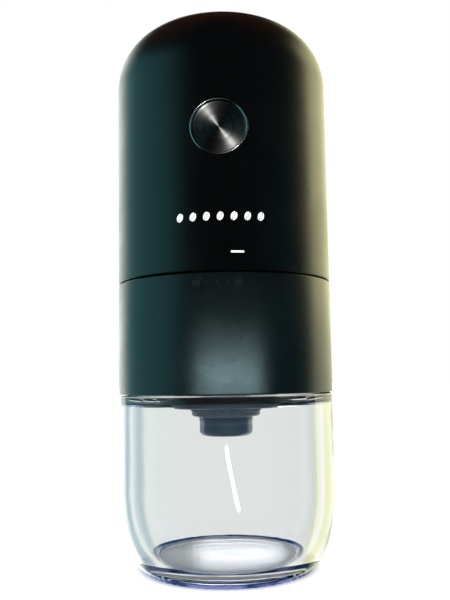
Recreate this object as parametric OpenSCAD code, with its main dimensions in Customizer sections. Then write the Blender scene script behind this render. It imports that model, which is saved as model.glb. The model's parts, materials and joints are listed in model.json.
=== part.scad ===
// Cordless conical burr coffee grinder.
// A drive unit (motor, planetary gears, battery, button) locks onto a bean section that holds the
// burr set, and the bean section screws onto a glass jar that catches the grounds.
// Origin: centre of the underside. +Z is up, the button faces -Y. Millimetres.

/* [Body] */
// Outside radius of the jar, bean section and drive unit
body_r = 35; // [34.5:0.5:36]
// Height of the glass below the bean section
jar_h = 55; // [50:1:60]
// Height of the bean section between the two seams
bean_h = 36; // [36:1:38]
// Overall height
top_z = 180.5; // [180:0.5:186]
// Gap between pieces that turn past each other
seam = 0.3; // [0.2:0.1:0.4]

/* [Dome] */
// Height from the seam to where the dome leaves the straight wall
wall_h = 66; // [64:1:68]
// Radius of the shoulder of the dome
shoulder_r = 20; // [18:1:22]
// Wall thickness of the drive housing
housing_t = 2.4; // [2:0.1:2.8]

/* [Jar] */
// Glass wall thickness
jar_t = 4.5; // [3.5:0.5:5]
// Radius of the flat underside
jar_base_r = 26; // [25:0.5:28]
// Height of the rounded corner at the base
jar_corner_h = 25.5; // [18:0.5:26]
// Glass thickness at the floor
floor_t = 3.4; // [3:0.1:5]
// Width of the rounded corner inside
cove_w = 8.5; // [5:0.5:10]
// Height of the rounded corner inside
cove_h = 22; // [10:1:24]
// Outside radius of the threaded neck
neck_r = 31; // [30.8:0.1:31.2]
// Height of the threaded neck
neck_h = 9.4; // [9:0.1:9.6]
// Rise of the jar thread in one turn
thread_lead = 12; // [10:1:12]

/* [Button] */
// Height of the button's centre
button_z = 134; // [130:1:138]
// Outside radius of the button's trim ring
bezel_r = 8.65; // [8:0.05:9]
// Travel of the button
button_travel = 0.8; // [0.5:0.1:1]

/* [Grinding set] */
// Outside radius of the fixed burr
burr_r = 16.2; // [16:0.1:16.2]
// Gap between the burrs at the medium setting, measured along the radius
burr_gap = 0.48; // [0.45:0.01:0.6]
// Radius of the spindle
spindle_r = 3; // [2.9:0.05:3]
// Number of fine teeth on each burr
burr_teeth = 36; // [24:4:40]
// Angle between the unlocked and the locked mark
twist = 20; // [16:1:22]

/* [Gears] */
// Gear module
gear_m = 0.62; // [0.6:0.01:0.62]
// Teeth on the motor pinion
sun_n = 10; // [10:1:10]
// Teeth on each planet
planet_n = 14; // [14:1:14]
// Width of the planets
gear_w = 6; // [5:0.5:6]

/* [Hidden] */
$fn = 96;
slip = 0.05;   // running clearance of a shaft in a bush
joint = 0.02;  // gap left where two fixed pieces meet

seam_z = jar_h + bean_h;          // seam between bean section and drive unit
neck_top = jar_h + neck_h;
jar_in_r = body_r - jar_t;
foot_h = 1.6;                     // height of the foot ring
foot_drop = 0.5;                  // how far the foot ring stands below the glass
foot_in_r = 25.2;
foot_out_r = 27.5;
glass_base = foot_drop;           // underside of the glass

// Bean section
shell_t = 1.6;
shell_in_r = body_r - shell_t;
hopper_r = shell_in_r - 0.1;
skirt_r = neck_r + 1.3;           // inside of the threaded skirt
web_z = neck_top + 1.4;           // underside of the plate above the jar seal
rim_r = 31.5;                     // inside of the rim that takes the drive spigot
ledge_z = seam_z - 7;             // ledge that carries the drive seal
bin_r = 29.8;                     // straight wall of the bean bin
throat_z = web_z + 2.8;           // where the funnel meets the burr tube
burr_top = web_z + 1.1;
burr_bot = jar_h + 3.2;
tube_in_r = burr_r + 0.1;
tube_out_r = 18.4;
tube_bot = jar_h + 1;
funnel_top = seam_z - 10.5;
spigot_r = rim_r - 0.4;
lug_r = 32.1;

// Burrs: the grinding band is a cone, so its radius falls by band_slope for each millimetre of height
band_slope = 0.375;
band_bot = jar_h + 2.2;
band_r = 13.4;
band_h = 4.8;
band_top = band_bot + band_h;
band_top_r = band_r - band_h * band_slope;
band_tilt = atan(band_slope);
cone_top = web_z + 4;

// Spindle and adjuster
dial_top = jar_h - 5;
dial_bot = dial_top - 2.6;
cap_bot = dial_bot - 6.2;
bridge_z = funnel_top;
hub_bot = bridge_z - 3.6;
hub_top = bridge_z + 3.6;
key_bot = seam_z + 1;
key_top = seam_z + 5.4;

// Drive unit, from the bottom up
shell_bot = seam_z + 0.1;
dome_z = seam_z + wall_h;
base_top = seam_z + 3.4;
dog_bot = seam_z + 0.8;
dog_disc = seam_z + 5.8;
cover_bot = seam_z + 9.5;
cover_top = cover_bot + 2.5;
carrier_z = cover_top + 0.6;
planet_z = carrier_z + 2.4;
case_top = planet_z + gear_w + 1;
plate_top = case_top + 2;
motor_top = plate_top + 34;
bell_top = motor_top + 4;
motor_r = 13.85;
cell_r = 9.1;
cell_x = 23.1;
cell_h = 50;
cell_bot = bell_top - cell_h;
clamp_z = bell_top + 0.6;
housing_in_r = body_r - housing_t;
board_y = 19.6;                   // back face of the main board is this far in front of the axis
socket_z = seam_z + 11.6;
charge_z = socket_z - 1.65;        // top of the charging board
index_a = 8;                      // the marks stand this far round from the button

// Gear geometry, pressure angle 25 degrees with short teeth
ring_n = sun_n + 2 * planet_n;
centre_r = gear_m * (sun_n + planet_n) / 2;
pressure = 25;
addendum = 0.8 * gear_m;
dedendum = gear_m;
backlash = 0.05;

black = [0.07, 0.085, 0.09];
steel = [0.72, 0.73, 0.75];

// ---------- helpers ----------

function arc(cx, cy, rx, ry, a0, a1, n) =
    [for (i = [0:n]) let (a = a0 + (a1 - a0) * i / n) [cx + rx * cos(a), cy + ry * sin(a)]];

module tube(ro, ri, z0, z1) {
    translate([0, 0, z0]) difference() {
        cylinder(r = ro, h = z1 - z0);
        translate([0, 0, -1]) cylinder(r = ri, h = z1 - z0 + 2);
    }
}

module disc(r, z0, z1) {
    translate([0, 0, z0]) cylinder(r = r, h = z1 - z0);
}

// A part of a ring, centred on angle a and w degrees wide
module ring_sector(ro, ri, z0, z1, a, w) {
    rotate([0, 0, a - w / 2]) rotate_extrude(angle = w)
        polygon([[ri, z0], [ro, z0], [ro, z1], [ri, z1]]);
}

// A pan-head screw along -Z with its head's underside at z
module screw(z, shank_r, shank_h, head_r, head_h) {
    difference() {
        union() {
            translate([0, 0, z]) cylinder(r = head_r, h = head_h);
            translate([0, 0, z - shank_h]) cylinder(r = shank_r, h = shank_h + 0.1);
        }
        for (a = [0, 90]) rotate([0, 0, a])
            translate([-head_r * 0.6, -head_r * 0.12, z + head_h * 0.45])
                cube([head_r * 1.2, head_r * 0.24, head_h]);
    }
}

// ---------- jar ----------

// Outer and inner half-section of the glass, from the floor to the neck
function jar_outside() = concat(
    [[0, glass_base], [jar_base_r - 1, glass_base]],
    arc(jar_base_r, glass_base + jar_corner_h, body_r - jar_base_r, jar_corner_h, -84, 0, 12),
    [[body_r, jar_h - 0.6], [body_r - 0.6, jar_h], [neck_r, jar_h], [neck_r, neck_top - 0.6],
     [neck_r - 0.6, neck_top]]);
function jar_inside() = concat(
    [[neck_r - 3, neck_top], [neck_r - 3.3, neck_top - 0.4], [neck_r - 3.3, jar_h + 0.5],
     [jar_in_r, jar_h - 3]],
    arc(jar_in_r - cove_w, floor_t + cove_h, cove_w, cove_h, 0, -84, 10),
    [[0, floor_t]]);

module jar_rib(a) {
    // a thread start: a short ring segment tilted to the thread's rise
    rise = atan(thread_lead / (2 * PI * neck_r));
    rotate([0, 0, a]) translate([0, 0, jar_h + 5]) rotate([rise, 0, 0]) rotate([0, 0, -32])
        rotate_extrude(angle = 64)
            polygon([[neck_r - 0.5, -0.85], [neck_r + 0.9, -0.35], [neck_r + 0.9, 0.35], [neck_r - 0.5, 0.85]]);
}

module glass_jar() color([0.86, 0.92, 0.93, 0.35]) {
    difference() {
        union() {
            rotate_extrude() polygon(concat(jar_outside(), jar_inside()));
            for (a = [0:90:270]) jar_rib(a);
        }
        // groove for the foot ring and a shallow seat for the label
        translate([0, 0, -1]) tube(foot_out_r, foot_in_r, 0, foot_h + 1);
        disc(foot_in_r - 0.8, -1, glass_base + 0.25);
    }
}

module foot_ring() color([0.10, 0.35, 0.75]) {
    ribs = 60;
    profile = [for (i = [0:2 * ribs - 1])
        let (r = foot_out_r - 0.2 - (i % 2) * 0.35, a = 180 * i / ribs) [r * cos(a), r * sin(a)]];
    difference() {
        union() {
            linear_extrude(foot_drop) polygon(profile);
            disc(foot_out_r - 0.1, foot_drop - 0.01, foot_h);
        }
        disc(foot_in_r + 0.1, -1, foot_h + 1);
    }
}

module base_label() color([0.93, 0.93, 0.92])
    disc(foot_in_r - 1, glass_base + 0.03, glass_base + 0.25);

module jar_seal() color([0.85, 0.86, 0.86])
    tube(skirt_r - 0.3, neck_r - 3.2, neck_top + 0.05, web_z - 0.02);

// ---------- bean section ----------

module chamber_shell() color(black)
    rotate_extrude() polygon([
        [shell_in_r, jar_h + seam], [body_r - 0.35, jar_h + seam], [body_r, jar_h + seam + 0.35],
        [body_r, seam_z - seam - 0.35], [body_r - 0.35, seam_z - seam], [shell_in_r, seam_z - seam]]);

module on_wall(r, a, h, thick) {
    // a flat drawing laid on the outside of a cylinder of radius r, a degrees round from the front
    rotate([0, 0, a]) intersection() {
        translate([0, 0, h]) rotate([90, 0, 0]) linear_extrude(r + 1) children();
        tube(r + thick, r, h - 5, h + 5);
    }
}

module padlock(open) {
    translate([-1.15, -1.5]) square([2.3, 1.6]);
    translate([open ? 1.0 : 0, 0]) difference() {
        union() {
            translate([0, 0.55]) circle(r = 0.85, $fn = 24);
            translate([-0.85, 0]) square([1.7, 0.55]);
        }
        translate([0, 0.55]) circle(r = 0.5, $fn = 24);
        translate([-0.5, -0.1]) square([1.0, 0.65]);
    }
}

module lock_marks() color([0.12, 0.13, 0.14]) {
    mark_z = seam_z - 2.7;
    on_wall(body_r, index_a, mark_z, 0.1) padlock(false);
    on_wall(body_r, index_a - twist, mark_z, 0.1) padlock(true);
    for (i = [1:3])
        on_wall(body_r, index_a - twist * i / 4, mark_z, 0.1)
            translate([0, -0.4]) circle(r = 0.28 + 0.08 * (4 - i), $fn = 20);
}

// Skirt that screws onto the jar
module thread_collar() color([0.10, 0.11, 0.115]) {
    tube(hopper_r, skirt_r, jar_h + 0.5, web_z - joint);
    for (a = [0:90:270]) thread_lug(a);
}

// Sleeve that holds the fixed burr
module burr_housing() color([0.10, 0.11, 0.115])
    tube(tube_out_r, tube_in_r, tube_bot, web_z - joint);

// Plate above the jar seal, and the funnel that feeds the burrs
module bean_funnel() color([0.10, 0.11, 0.115])
    rotate_extrude() polygon([
        [tube_in_r, web_z], [hopper_r, web_z], [hopper_r, web_z + 1.8], [19.5, web_z + 1.8],
        [19.5, throat_z + 0.3], [31.4, funnel_top - 1], [31.4, funnel_top], [bin_r - 1.4, funnel_top],
        [16.6, throat_z], [14.8, throat_z - 0.3], [14.8, burr_top], [tube_in_r, burr_top]]);

// Wall of the bean bin and the rim that takes the drive unit
module bin_rim() color([0.10, 0.11, 0.115])
    difference() {
        rotate_extrude() polygon([
            [bin_r, funnel_top + joint], [31.4, funnel_top + joint], [31.4, ledge_z - 1.4],
            [hopper_r, ledge_z - 1.4], [hopper_r, seam_z - 0.5], [rim_r, seam_z - 0.5], [rim_r, ledge_z],
            [bin_r, ledge_z]]);
        // open-topped slots in the rim for the drive unit's lugs
        for (a = [0:120:240])
            ring_sector(lug_r + 0.25, rim_r - 0.5, ledge_z + 1.6, seam_z, 30 + a - twist / 2, twist + 16);
    }

// A short piece of the female thread, midway between two starts of the jar's
module thread_lug(a) {
    rise = atan(thread_lead / (2 * PI * neck_r));
    rotate([0, 0, a]) translate([0, 0, jar_h + 5 - thread_lead / 8]) rotate([rise, 0, 0])
        rotate([0, 0, -15]) rotate_extrude(angle = 30)
            polygon([[skirt_r + 0.4, -0.85], [skirt_r + 0.4, 0.85], [skirt_r - 0.9, 0.3], [skirt_r - 0.9, -0.3]]);
}

function band_out(z) = band_r - (z - band_bot) * band_slope + burr_gap;

module outer_burr() color([0.93, 0.92, 0.89]) {
    band_end = burr_bot + 3;
    mid = (burr_bot + band_end) / 2;
    difference() {
        rotate_extrude() polygon([
            [burr_r, burr_bot], [burr_r, burr_top], [14.9, burr_top], [band_out(band_end), band_end],
            [band_out(burr_bot), burr_bot]]);
        for (i = [0:burr_teeth - 1]) rotate([0, 0, 360 * i / burr_teeth])
            translate([band_out(mid) + 0.05, 0, mid]) rotate([14, -band_tilt, 0]) rotate([0, 0, 45])
                cube([0.8, 0.8, 6.5], center = true);
        for (i = [0:5]) rotate([0, 0, 60 * i])
            translate([band_out(band_end) + 0.9, 0, burr_top]) rotate([22, 14, 0])
                cylinder(r = 1.7, h = 8, center = true);
    }
}

module burr_retainer() color([0.30, 0.33, 0.36])
    rotate_extrude() polygon(concat(
        [[tube_in_r - 0.1, burr_bot - 0.05], [tube_in_r - 0.1, tube_bot - 0.05], [17.2, tube_bot - 0.05],
         [17.2, dial_top + 1.6]],
        arc(16.2, dial_top + 1.3, 1, 0.9, 0, -80, 4),
        [[14.7, dial_top + 0.2], [14.4, dial_top + 0.5], [14.4, burr_bot - 0.05]]));

module spindle_bridge() color([0.15, 0.16, 0.17]) {
    difference() {
        union() {
            tube(bin_r - 0.1, bin_r - 1.6, bridge_z + 0.02, bridge_z + 3.4);
            disc(5.6, hub_bot, hub_top);
            for (a = [90, 210, 330]) rotate([0, 0, a])
                translate([4, -1.9, bridge_z + 0.02]) cube([bin_r - 5, 3.8, 3.38]);
        }
        disc(4.5, hub_bot - 1, hub_top + 1);
    }
}

module bridge_bush() color([0.72, 0.52, 0.30])
    tube(4.5, spindle_r + slip, hub_bot, hub_top);

// ---------- grinding spindle ----------

module spindle() color(steel) {
    disc(spindle_r, cap_bot + 2.4, key_top);
    disc(4.2, hub_top + 0.3, hub_top + 2.1);
    disc(3.6, hub_top + 2, key_bot);
}

module spindle_key() color([0.62, 0.63, 0.65]) {
    // a two-winged key that the drive dog's fingers push round
    difference() {
        union() {
            disc(4.4, key_bot, key_top);
            for (a = [0, 180]) ring_sector(6, 3.5, key_bot, key_top, a, 38);
        }
        disc(spindle_r, key_bot - 1, key_top + 1);
    }
}

module spindle_clip() color([0.45, 0.46, 0.48]) {
    difference() {
        disc(5, hub_bot - 1.1, hub_bot - 0.4);
        disc(spindle_r, hub_bot - 2, hub_bot);
        translate([0, -1.4, hub_bot - 2]) cube([6, 2.8, 3]);
    }
}

// A coil spring as one tube swept along its helix
module burr_spring() color([0.80, 0.81, 0.83]) {
    wire_r = 0.45;
    coil_r = 4.1;
    turns = 4;
    z0 = cone_top + 0.5;
    z1 = hub_bot - 1.6;
    steps = 18 * turns;
    sides = 8;
    points = [for (i = [0:steps]) let (a = 360 * turns * i / steps, z = z0 + (z1 - z0) * i / steps)
        for (j = [0:sides - 1]) let (b = 360 * j / sides, r = coil_r + wire_r * cos(b))
            [r * cos(a), r * sin(a), z + wire_r * sin(b)]];
    sides_faces = [for (i = [0:steps - 1]) for (j = [0:sides - 1])
        let (k = (j + 1) % sides)
            [i * sides + j, i * sides + k, (i + 1) * sides + k, (i + 1) * sides + j]];
    polyhedron(points, concat(sides_faces,
        [[for (j = [sides - 1:-1:0]) j], [for (j = [0:sides - 1]) steps * sides + j]]));
}

module inner_burr() color([0.95, 0.94, 0.91]) {
    mid = band_bot + band_h / 2;
    difference() {
        rotate_extrude() polygon([
            [spindle_r + 0.9, band_bot], [band_r, band_bot], [band_top_r, band_top],
            [9.4, band_top + 3.4], [6.2, cone_top - 0.8], [5.4, cone_top], [spindle_r + 0.9, cone_top]]);
        for (i = [0:burr_teeth - 1]) rotate([0, 0, 360 * i / burr_teeth])
            translate([band_r - band_h / 2 * band_slope, 0, mid]) rotate([-14, -band_tilt, 0])
                rotate([0, 0, 45]) cube([0.8, 0.8, band_h * 1.4], center = true);
        for (i = [0:5]) rotate([0, 0, 60 * i + 12])
            translate([11.6, 0, band_top + 3]) rotate([-30, -38, 0])
                cylinder(r = 2.3, h = 14, center = true);
    }
}

module burr_carrier() color([0.24, 0.27, 0.30]) {
    // the moulded hub that carries the burr down the spindle, with the flange that the dial clicks on
    difference() {
        union() {
            disc(spindle_r + 0.85, band_bot - 0.5, cone_top);
            rotate_extrude() polygon([[0, dial_top + 0.3], [12.4, dial_top + 0.3], [12.8, dial_top + 0.8],
                [13.1, band_bot - 1.5], [13.1, band_bot - 0.05], [0, band_bot - 0.05]]);
        }
        disc(spindle_r + slip, dial_top - 1, cone_top + 1);
    }
}

// ---------- adjuster ----------

module adjuster_dial() color([0.30, 0.33, 0.36]) {
    teeth = 48;
    profile = [for (i = [0:2 * teeth - 1])
        let (r = 11.7 - (i % 2) * 0.45, a = 180 * i / teeth) [r * cos(a), r * sin(a)]];
    difference() {
        union() {
            translate([0, 0, dial_top - 0.9]) linear_extrude(0.9) polygon(profile);
            rotate_extrude() polygon([[0, dial_bot], [10.8, dial_bot], [11.3, dial_bot + 0.5],
                [11.3, dial_top - 0.8], [0, dial_top - 0.8]]);
        }
        disc(5.05, dial_bot - 1, dial_top + 1);
    }
}

module adjuster_cap() color([0.42, 0.46, 0.50])
    difference() {
        rotate_extrude() polygon(concat(
            [[0, cap_bot]], arc(7, cap_bot + 1.6, 1.6, 1.6, -90, 0, 6),
            [[8.7, cap_bot + 2.6], [8.6, cap_bot + 4.4], [8.9, dial_bot - 0.02], [0, dial_bot - 0.02]]));
        disc(7.2, cap_bot + 1.2, dial_bot - 1.5);
        disc(5.05, cap_bot + 1.2, dial_bot + 1);
    }

module adjuster_nut() color([0.80, 0.66, 0.36])
    tube(5, spindle_r + slip, cap_bot + 3, dial_top - 0.4);

// ---------- drive unit ----------

module drive_seal() color([0.80, 0.81, 0.81])
    tube(rim_r - 0.15, bin_r + 0.1, ledge_z + 0.02, ledge_z + 0.9);

// Half-section of the dome inset by t: shoulder arc, then a flatter crown arc tangent to it
function crown_r() = let (h = top_z - dome_z, a = shoulder_r)
    ((body_r - a) * (body_r - a) + h * h - a * a) / (2 * (h - a));
function dome(t) = let (b = crown_r(), zc = top_z - b, phi = atan2(dome_z - zc, body_r - shoulder_r))
    concat(arc(body_r - shoulder_r, dome_z, shoulder_r - t, shoulder_r - t, 0, phi, 9),
        [for (i = [1:8]) let (a = phi + (90 - phi) * i / 8) [(b - t) * cos(a), zc + (b - t) * sin(a)]]);

module socket_slot(grow, depth) {
    for (x = [-1, 1]) translate([x * 2.84, 0, socket_z])
        rotate([-90, 0, 0]) cylinder(r = 1.63 + grow, h = depth, $fn = 32);
    translate([-2.84, 0, socket_z - 1.63 - grow]) cube([5.68, depth, 3.26 + 2 * grow]);
}

module drive_housing() color(black) {
    difference() {
        rotate_extrude() polygon(concat(
            [[housing_in_r, shell_bot], [body_r - 0.4, shell_bot], [body_r, shell_bot + 0.4]],
            dome(0), [for (i = [17:-1:0]) dome(housing_t)[i]]));
        translate([0, 0, button_z]) rotate([90, 0, 0]) cylinder(r = bezel_r + 0.05, h = 50);
        translate([0, 20, 0]) socket_slot(0.15, 30);
    }
}

// One coffee bean: an oval parted by a wavy line
module bean_glyph() {
    w = 0.92;
    h = 1.3;
    difference() {
        polygon([for (i = [0:23]) [w * cos(15 * i), h * sin(15 * i)]]);
        polygon(concat(
            [for (i = [-6:6]) [0.22 * sin(30 * i) - 0.11, i * 0.24]],
            [for (i = [6:-1:-6]) [0.22 * sin(30 * i) + 0.11, i * 0.24]]));
    }
}

// A row of beans below the button, and the index line that points at the lock marks
module printed_marks() color([0.93, 0.93, 0.91]) {
    for (i = [-3:3]) on_wall(body_r, i * 6.6, seam_z + 16, 0.04) rotate(-18) bean_glyph();
    on_wall(body_r, index_a, seam_z + 5.5, 0.04) square([3.8, 0.55], center = true);
}

module button_bezel() color([0.75, 0.76, 0.77])
    translate([0, 0, button_z]) rotate([90, 0, 0]) rotate_extrude()
        polygon([[8.0, 30.5], [bezel_r, 30.5], [bezel_r, 34.45], [bezel_r - 0.2, 34.7],
            [8.25, 34.7], [8.0, 34.3]]);

module button_cap() color([0.20, 0.21, 0.21])
    translate([0, 0, button_z]) rotate([90, 0, 0]) rotate_extrude()
        polygon([[0, 31.6], [2.6, 31.6], [2.6, 32.7], [6.6, 32.7], [6.6, 31.6], [7.85, 31.6],
            [7.85, 34.1], [7.6, 34.25], [0, 34.1]]);

module button_stem() color([0.12, 0.12, 0.13])
    translate([0, 0, button_z]) rotate([90, 0, 0]) {
        translate([0, 0, 26.1]) cylinder(r = 2.2, h = 5.48, $fn = 32);
        translate([0, 0, 30.4]) tube(7.6, 4.4, 0, 1.15);
        for (a = [0, 90]) rotate([0, 0, a]) translate([-5, -0.6, 30.4]) cube([10, 1.2, 1.15]);
    }

module drive_base() color([0.09, 0.10, 0.105]) {
    difference() {
        rotate_extrude() polygon([
            [spigot_r + joint, shell_bot + 0.1], [housing_in_r - 0.1, shell_bot + 0.1],
            [housing_in_r - 0.1, base_top], [9.3, base_top], [9.3, cover_bot - 0.5], [8, cover_bot - 0.5],
            [8, base_top - 2], [spigot_r + joint, base_top - 2]]);
        for (a = [45:90:315]) rotate([0, 0, a]) translate([24.5, 0, 0]) {
            disc(1.5, base_top - 3, base_top + 1);
            disc(2.7, base_top - 3, base_top - 1.2);
        }
    }
}

// Spigot under the base, with the three lugs of the twist lock
module bayonet_ring() color([0.09, 0.10, 0.105]) {
    tube(spigot_r, 28.6, ledge_z + 1, base_top - 2 - joint);
    for (a = [0:120:240])
        ring_sector(lug_r, spigot_r - 1, ledge_z + 2.2, ledge_z + 4.2, 30 + a, 12);
}

module base_screws() color([0.35, 0.36, 0.38])
    for (a = [45:90:315]) rotate([0, 0, a]) translate([24.5, 0, base_top - 1.2]) rotate([180, 0, 0])
        screw(0, 1.3, 6, 2.4, 0.7);

module chassis() color([0.78, 0.78, 0.75]) {
    plate_z = base_top + 0.05;
    difference() {
        union() {
            disc(housing_in_r - 0.2, plate_z, plate_z + 1.8);
            tube(14.9, 14.0, plate_z + 1, cell_bot - 0.1);
            for (a = [45:90:315]) rotate([0, 0, a]) translate([24.5, 0, 0]) disc(3, plate_z + 1, plate_z + 5.5);
            for (s = [-1, 1]) translate([s * cell_x, 0, 0]) disc(cell_r, plate_z + 1, cell_bot - 0.1);
            // posts that carry the main board, the charging board and the clamp
            for (s = [-1, 1]) {
                translate([s * 12 - 1.5, -board_y + 0.05, plate_z + 1]) cube([3, 3.4, clamp_z - plate_z - 1.05]);
                translate([s * 7 - 1.5, 17.5, plate_z + 1]) cube([3, 9, charge_z - plate_z - 2.45]);
            }
        }
        disc(14.0, plate_z - 1, cover_bot + 7);
        for (a = [45:90:315]) rotate([0, 0, a]) translate([24.5, 0, 0]) disc(1.3, plate_z - 1, plate_z + 4.9);
    }
}

module battery_cells() color([0.16, 0.42, 0.30])
    for (s = [-1, 1]) translate([s * cell_x, 0, 0]) {
        disc(cell_r, cell_bot, bell_top - 0.6);
        disc(3, bell_top - 0.7, bell_top);
    }

module battery_tabs() color([0.75, 0.75, 0.72])
    for (s = [-1, 1])
        translate([s * cell_x - 3, -11.5, bell_top + 0.02]) cube([6, 15, 0.3]);

module main_board() color([0.05, 0.30, 0.18])
    difference() {
        translate([-14, -board_y - 1.4, seam_z + 17]) cube([28, 1.4, 42]);
        for (s = [-1, 1], z = [seam_z + 20, seam_z + 56])
            translate([s * 12, -board_y + 1, z]) rotate([90, 0, 0]) cylinder(r = 0.9, h = 4, $fn = 24);
    }

module tact_switch() color([0.14, 0.14, 0.15]) {
    translate([-3, -board_y - 1.42 - 3.4, button_z - 3]) cube([6, 3.4, 6]);
    translate([0, -board_y - 4.7, button_z]) rotate([90, 0, 0]) cylinder(r = 1.7, h = 0.9, $fn = 24);
}

module slotted_head()
    difference() {
        cylinder(r = 1.5, h = 0.8, $fn = 24);
        translate([-1, -0.2, 0.4]) cube([2, 0.4, 1]);
    }

module small_screws() color(steel)
    for (s = [-1, 1]) {
        for (z = [seam_z + 20, seam_z + 56])
            translate([s * 12, -board_y - 1.42, z]) rotate([90, 0, 0]) slotted_head();
        translate([s * 12, -board_y + 1.75, clamp_z + 2 + joint]) slotted_head();
    }

module charge_board() color([0.05, 0.30, 0.18])
    translate([-9, 17.3, charge_z]) translate([0, 0, -1.4]) cube([18, 13.2, 1.38]);

module charge_socket() color([0.70, 0.71, 0.73]) {
    // a stadium-shaped steel shell with its tongue
    difference() {
        translate([0, 27.2, 0]) socket_slot(0, 7.2);
        translate([0, 27.6, 0]) socket_slot(-0.3, 8);
    }
    translate([-3.3, 27.4, socket_z - 0.35]) cube([6.6, 6, 0.7]);
}

// ---------- gears and motor ----------

function inv(a) = (tan(a) - a * PI / 180) * 180 / PI;
function half_tooth(n, r, play) = let (rp = gear_m * n / 2, rb = rp * cos(pressure))
    90 / n + inv(pressure) - inv(acos(min(1, rb / max(r, rb)))) - play * 180 / (PI * rp);

// Outline of a gear with n teeth: play above 0 thins the teeth, below 0 widens them
function gear_points(n, r_root, r_tip, play) = [for (t = [0:n - 1], side = [-1, 1], k = [0:3])
    let (u = side < 0 ? k / 3 : 1 - k / 3, r = r_root + (r_tip - r_root) * u,
         a = 360 * t / n + side * half_tooth(n, r, play)) [r * cos(a), r * sin(a)]];

module gear(n, w) {
    rp = gear_m * n / 2;
    linear_extrude(w) polygon(gear_points(n, rp - dedendum, rp + addendum, backlash));
}

module gearbox_case() color([0.88, 0.87, 0.82])
    translate([0, 0, cover_top]) difference() {
        cylinder(r = motor_r, h = case_top - cover_top);
        rp = gear_m * ring_n / 2;
        // half a tooth round, so that a tooth of the ring stands in the gap of each planet
        rotate([0, 0, 180 / ring_n]) translate([0, 0, -1]) linear_extrude(case_top - cover_top + 2)
            polygon(gear_points(ring_n, rp - addendum, rp + dedendum, -backlash));
    }

module gearbox_cover() color([0.88, 0.87, 0.82])
    difference() {
        disc(motor_r, cover_bot, cover_top - 0.02);
        disc(5, cover_bot - 1, cover_top + 1);
    }

module output_bush() color([0.72, 0.52, 0.30])
    tube(5, 4 + slip, cover_bot, cover_top - 0.02);

module dust_seal() color([0.15, 0.15, 0.16])
    rotate_extrude() polygon([[4.1, cover_bot - 1.2], [4.6, cover_bot - 1.8], [7.9, cover_bot - 1.8],
        [7.9, cover_bot - 0.05], [4.6, cover_bot - 0.05], [4.1, cover_bot - 0.7]]);

module motor_plate() color(steel)
    difference() {
        disc(motor_r, case_top + 0.02, plate_top - 0.02);
        disc(3.6, case_top - 1, plate_top + 1);
        for (s = [-1, 1]) translate([s * 8, 0, 0]) disc(1.3, case_top - 1, plate_top + 1);
    }

module motor_screws() color([0.35, 0.36, 0.38])
    for (s = [-1, 1]) translate([s * 8, 0, case_top + 0.01]) rotate([180, 0, 0])
        screw(0, 1.25, plate_top - case_top + 0.8, 2.1, 0.65);

module motor_can() color(steel)
    difference() {
        disc(motor_r, plate_top, motor_top);
        disc(motor_r - 0.9, plate_top + 1, motor_top + 1);
        disc(3, plate_top - 1, plate_top + 2);
        for (s = [-1, 1]) translate([s * 8, 0, 0]) disc(1.3, plate_top - 1, plate_top + 2);
    }

module motor_magnets() color([0.22, 0.22, 0.23])
    for (a = [0, 180]) ring_sector(motor_r - 0.95, 11.1, plate_top + 5, motor_top - 4, a, 130);

module motor_end_bell() color([0.90, 0.90, 0.88])
    difference() {
        union() {
            disc(motor_r, motor_top + 0.02, bell_top - 1.6);
            disc(5, bell_top - 2, bell_top);
        }
        disc(1.15 + slip, motor_top - 1, bell_top + 1);
        disc(6, motor_top - 1, motor_top + 1);
    }

module motor_terminals() color([0.80, 0.66, 0.36])
    for (s = [-1, 1]) translate([-1.2, s * 9 - 0.25, bell_top - 1.58]) cube([2.4, 0.5, 1.9]);

module top_clamp() color([0.78, 0.78, 0.75])
    difference() {
        intersection() {
            translate([-30, -22, clamp_z]) cube([60, 36, 2]);
            disc(30.4, clamp_z - 1, clamp_z + 3);
        }
        for (s = [-1, 1]) translate([s * 12, -board_y + 1.75, clamp_z - 1]) cylinder(r = 0.8, h = 4, $fn = 24);
        disc(6, clamp_z - 1, clamp_z + 3);
    }

module motor_shaft() color(steel)
    disc(1.15, planet_z - 0.4, bell_top - 0.3);

module armature() color([0.55, 0.30, 0.18])
    difference() {
        // three wound poles
        translate([0, 0, plate_top + 5]) linear_extrude(motor_top - plate_top - 12) union() {
            circle(r = 3.4);
            for (a = [0:120:240]) rotate(a) {
                translate([2, -1.9]) square([6.5, 3.8]);
                intersection() {
                    difference() {
                        circle(r = 10.6);
                        circle(r = 8.2);
                    }
                    polygon([[0, 0], [14, -13], [14, 13]]);
                }
            }
        }
        disc(1.15, plate_top, motor_top);
    }

module commutator() color([0.75, 0.45, 0.25])
    difference() {
        disc(3, motor_top - 5.6, motor_top - 1);
        disc(1.15, motor_top - 7, motor_top + 1);
        for (a = [0:120:240]) rotate([0, 0, a]) translate([1.8, -0.15, motor_top - 7]) cube([3, 0.3, 8]);
    }

module sun_pinion() color([0.80, 0.66, 0.36])
    translate([0, 0, planet_z]) difference() {
        gear(sun_n, gear_w + 0.4);
        translate([0, 0, -1]) cylinder(r = 1.15, h = gear_w + 3);
    }

module planet_carrier() color([0.60, 0.61, 0.63]) {
    disc(10.4, carrier_z, carrier_z + 1.8);
    disc(4, dog_disc + 0.2, carrier_z + 0.1);
    for (a = [0:120:240]) rotate([0, 0, a]) translate([centre_r, 0, 0])
        disc(1, carrier_z + 1, planet_z + gear_w);
}

module drive_dog() color([0.20, 0.21, 0.22]) {
    // two fingers that stand in front of the key's wings and push them anticlockwise
    difference() {
        union() {
            disc(7.3, dog_disc, dog_disc + 1.6);
            for (a = [0, 180]) ring_sector(7.3, 4.9, dog_bot, dog_disc + 0.1, a - 41, 40);
        }
        disc(4, dog_disc + 0.2, dog_disc + 2);
    }
}

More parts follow.
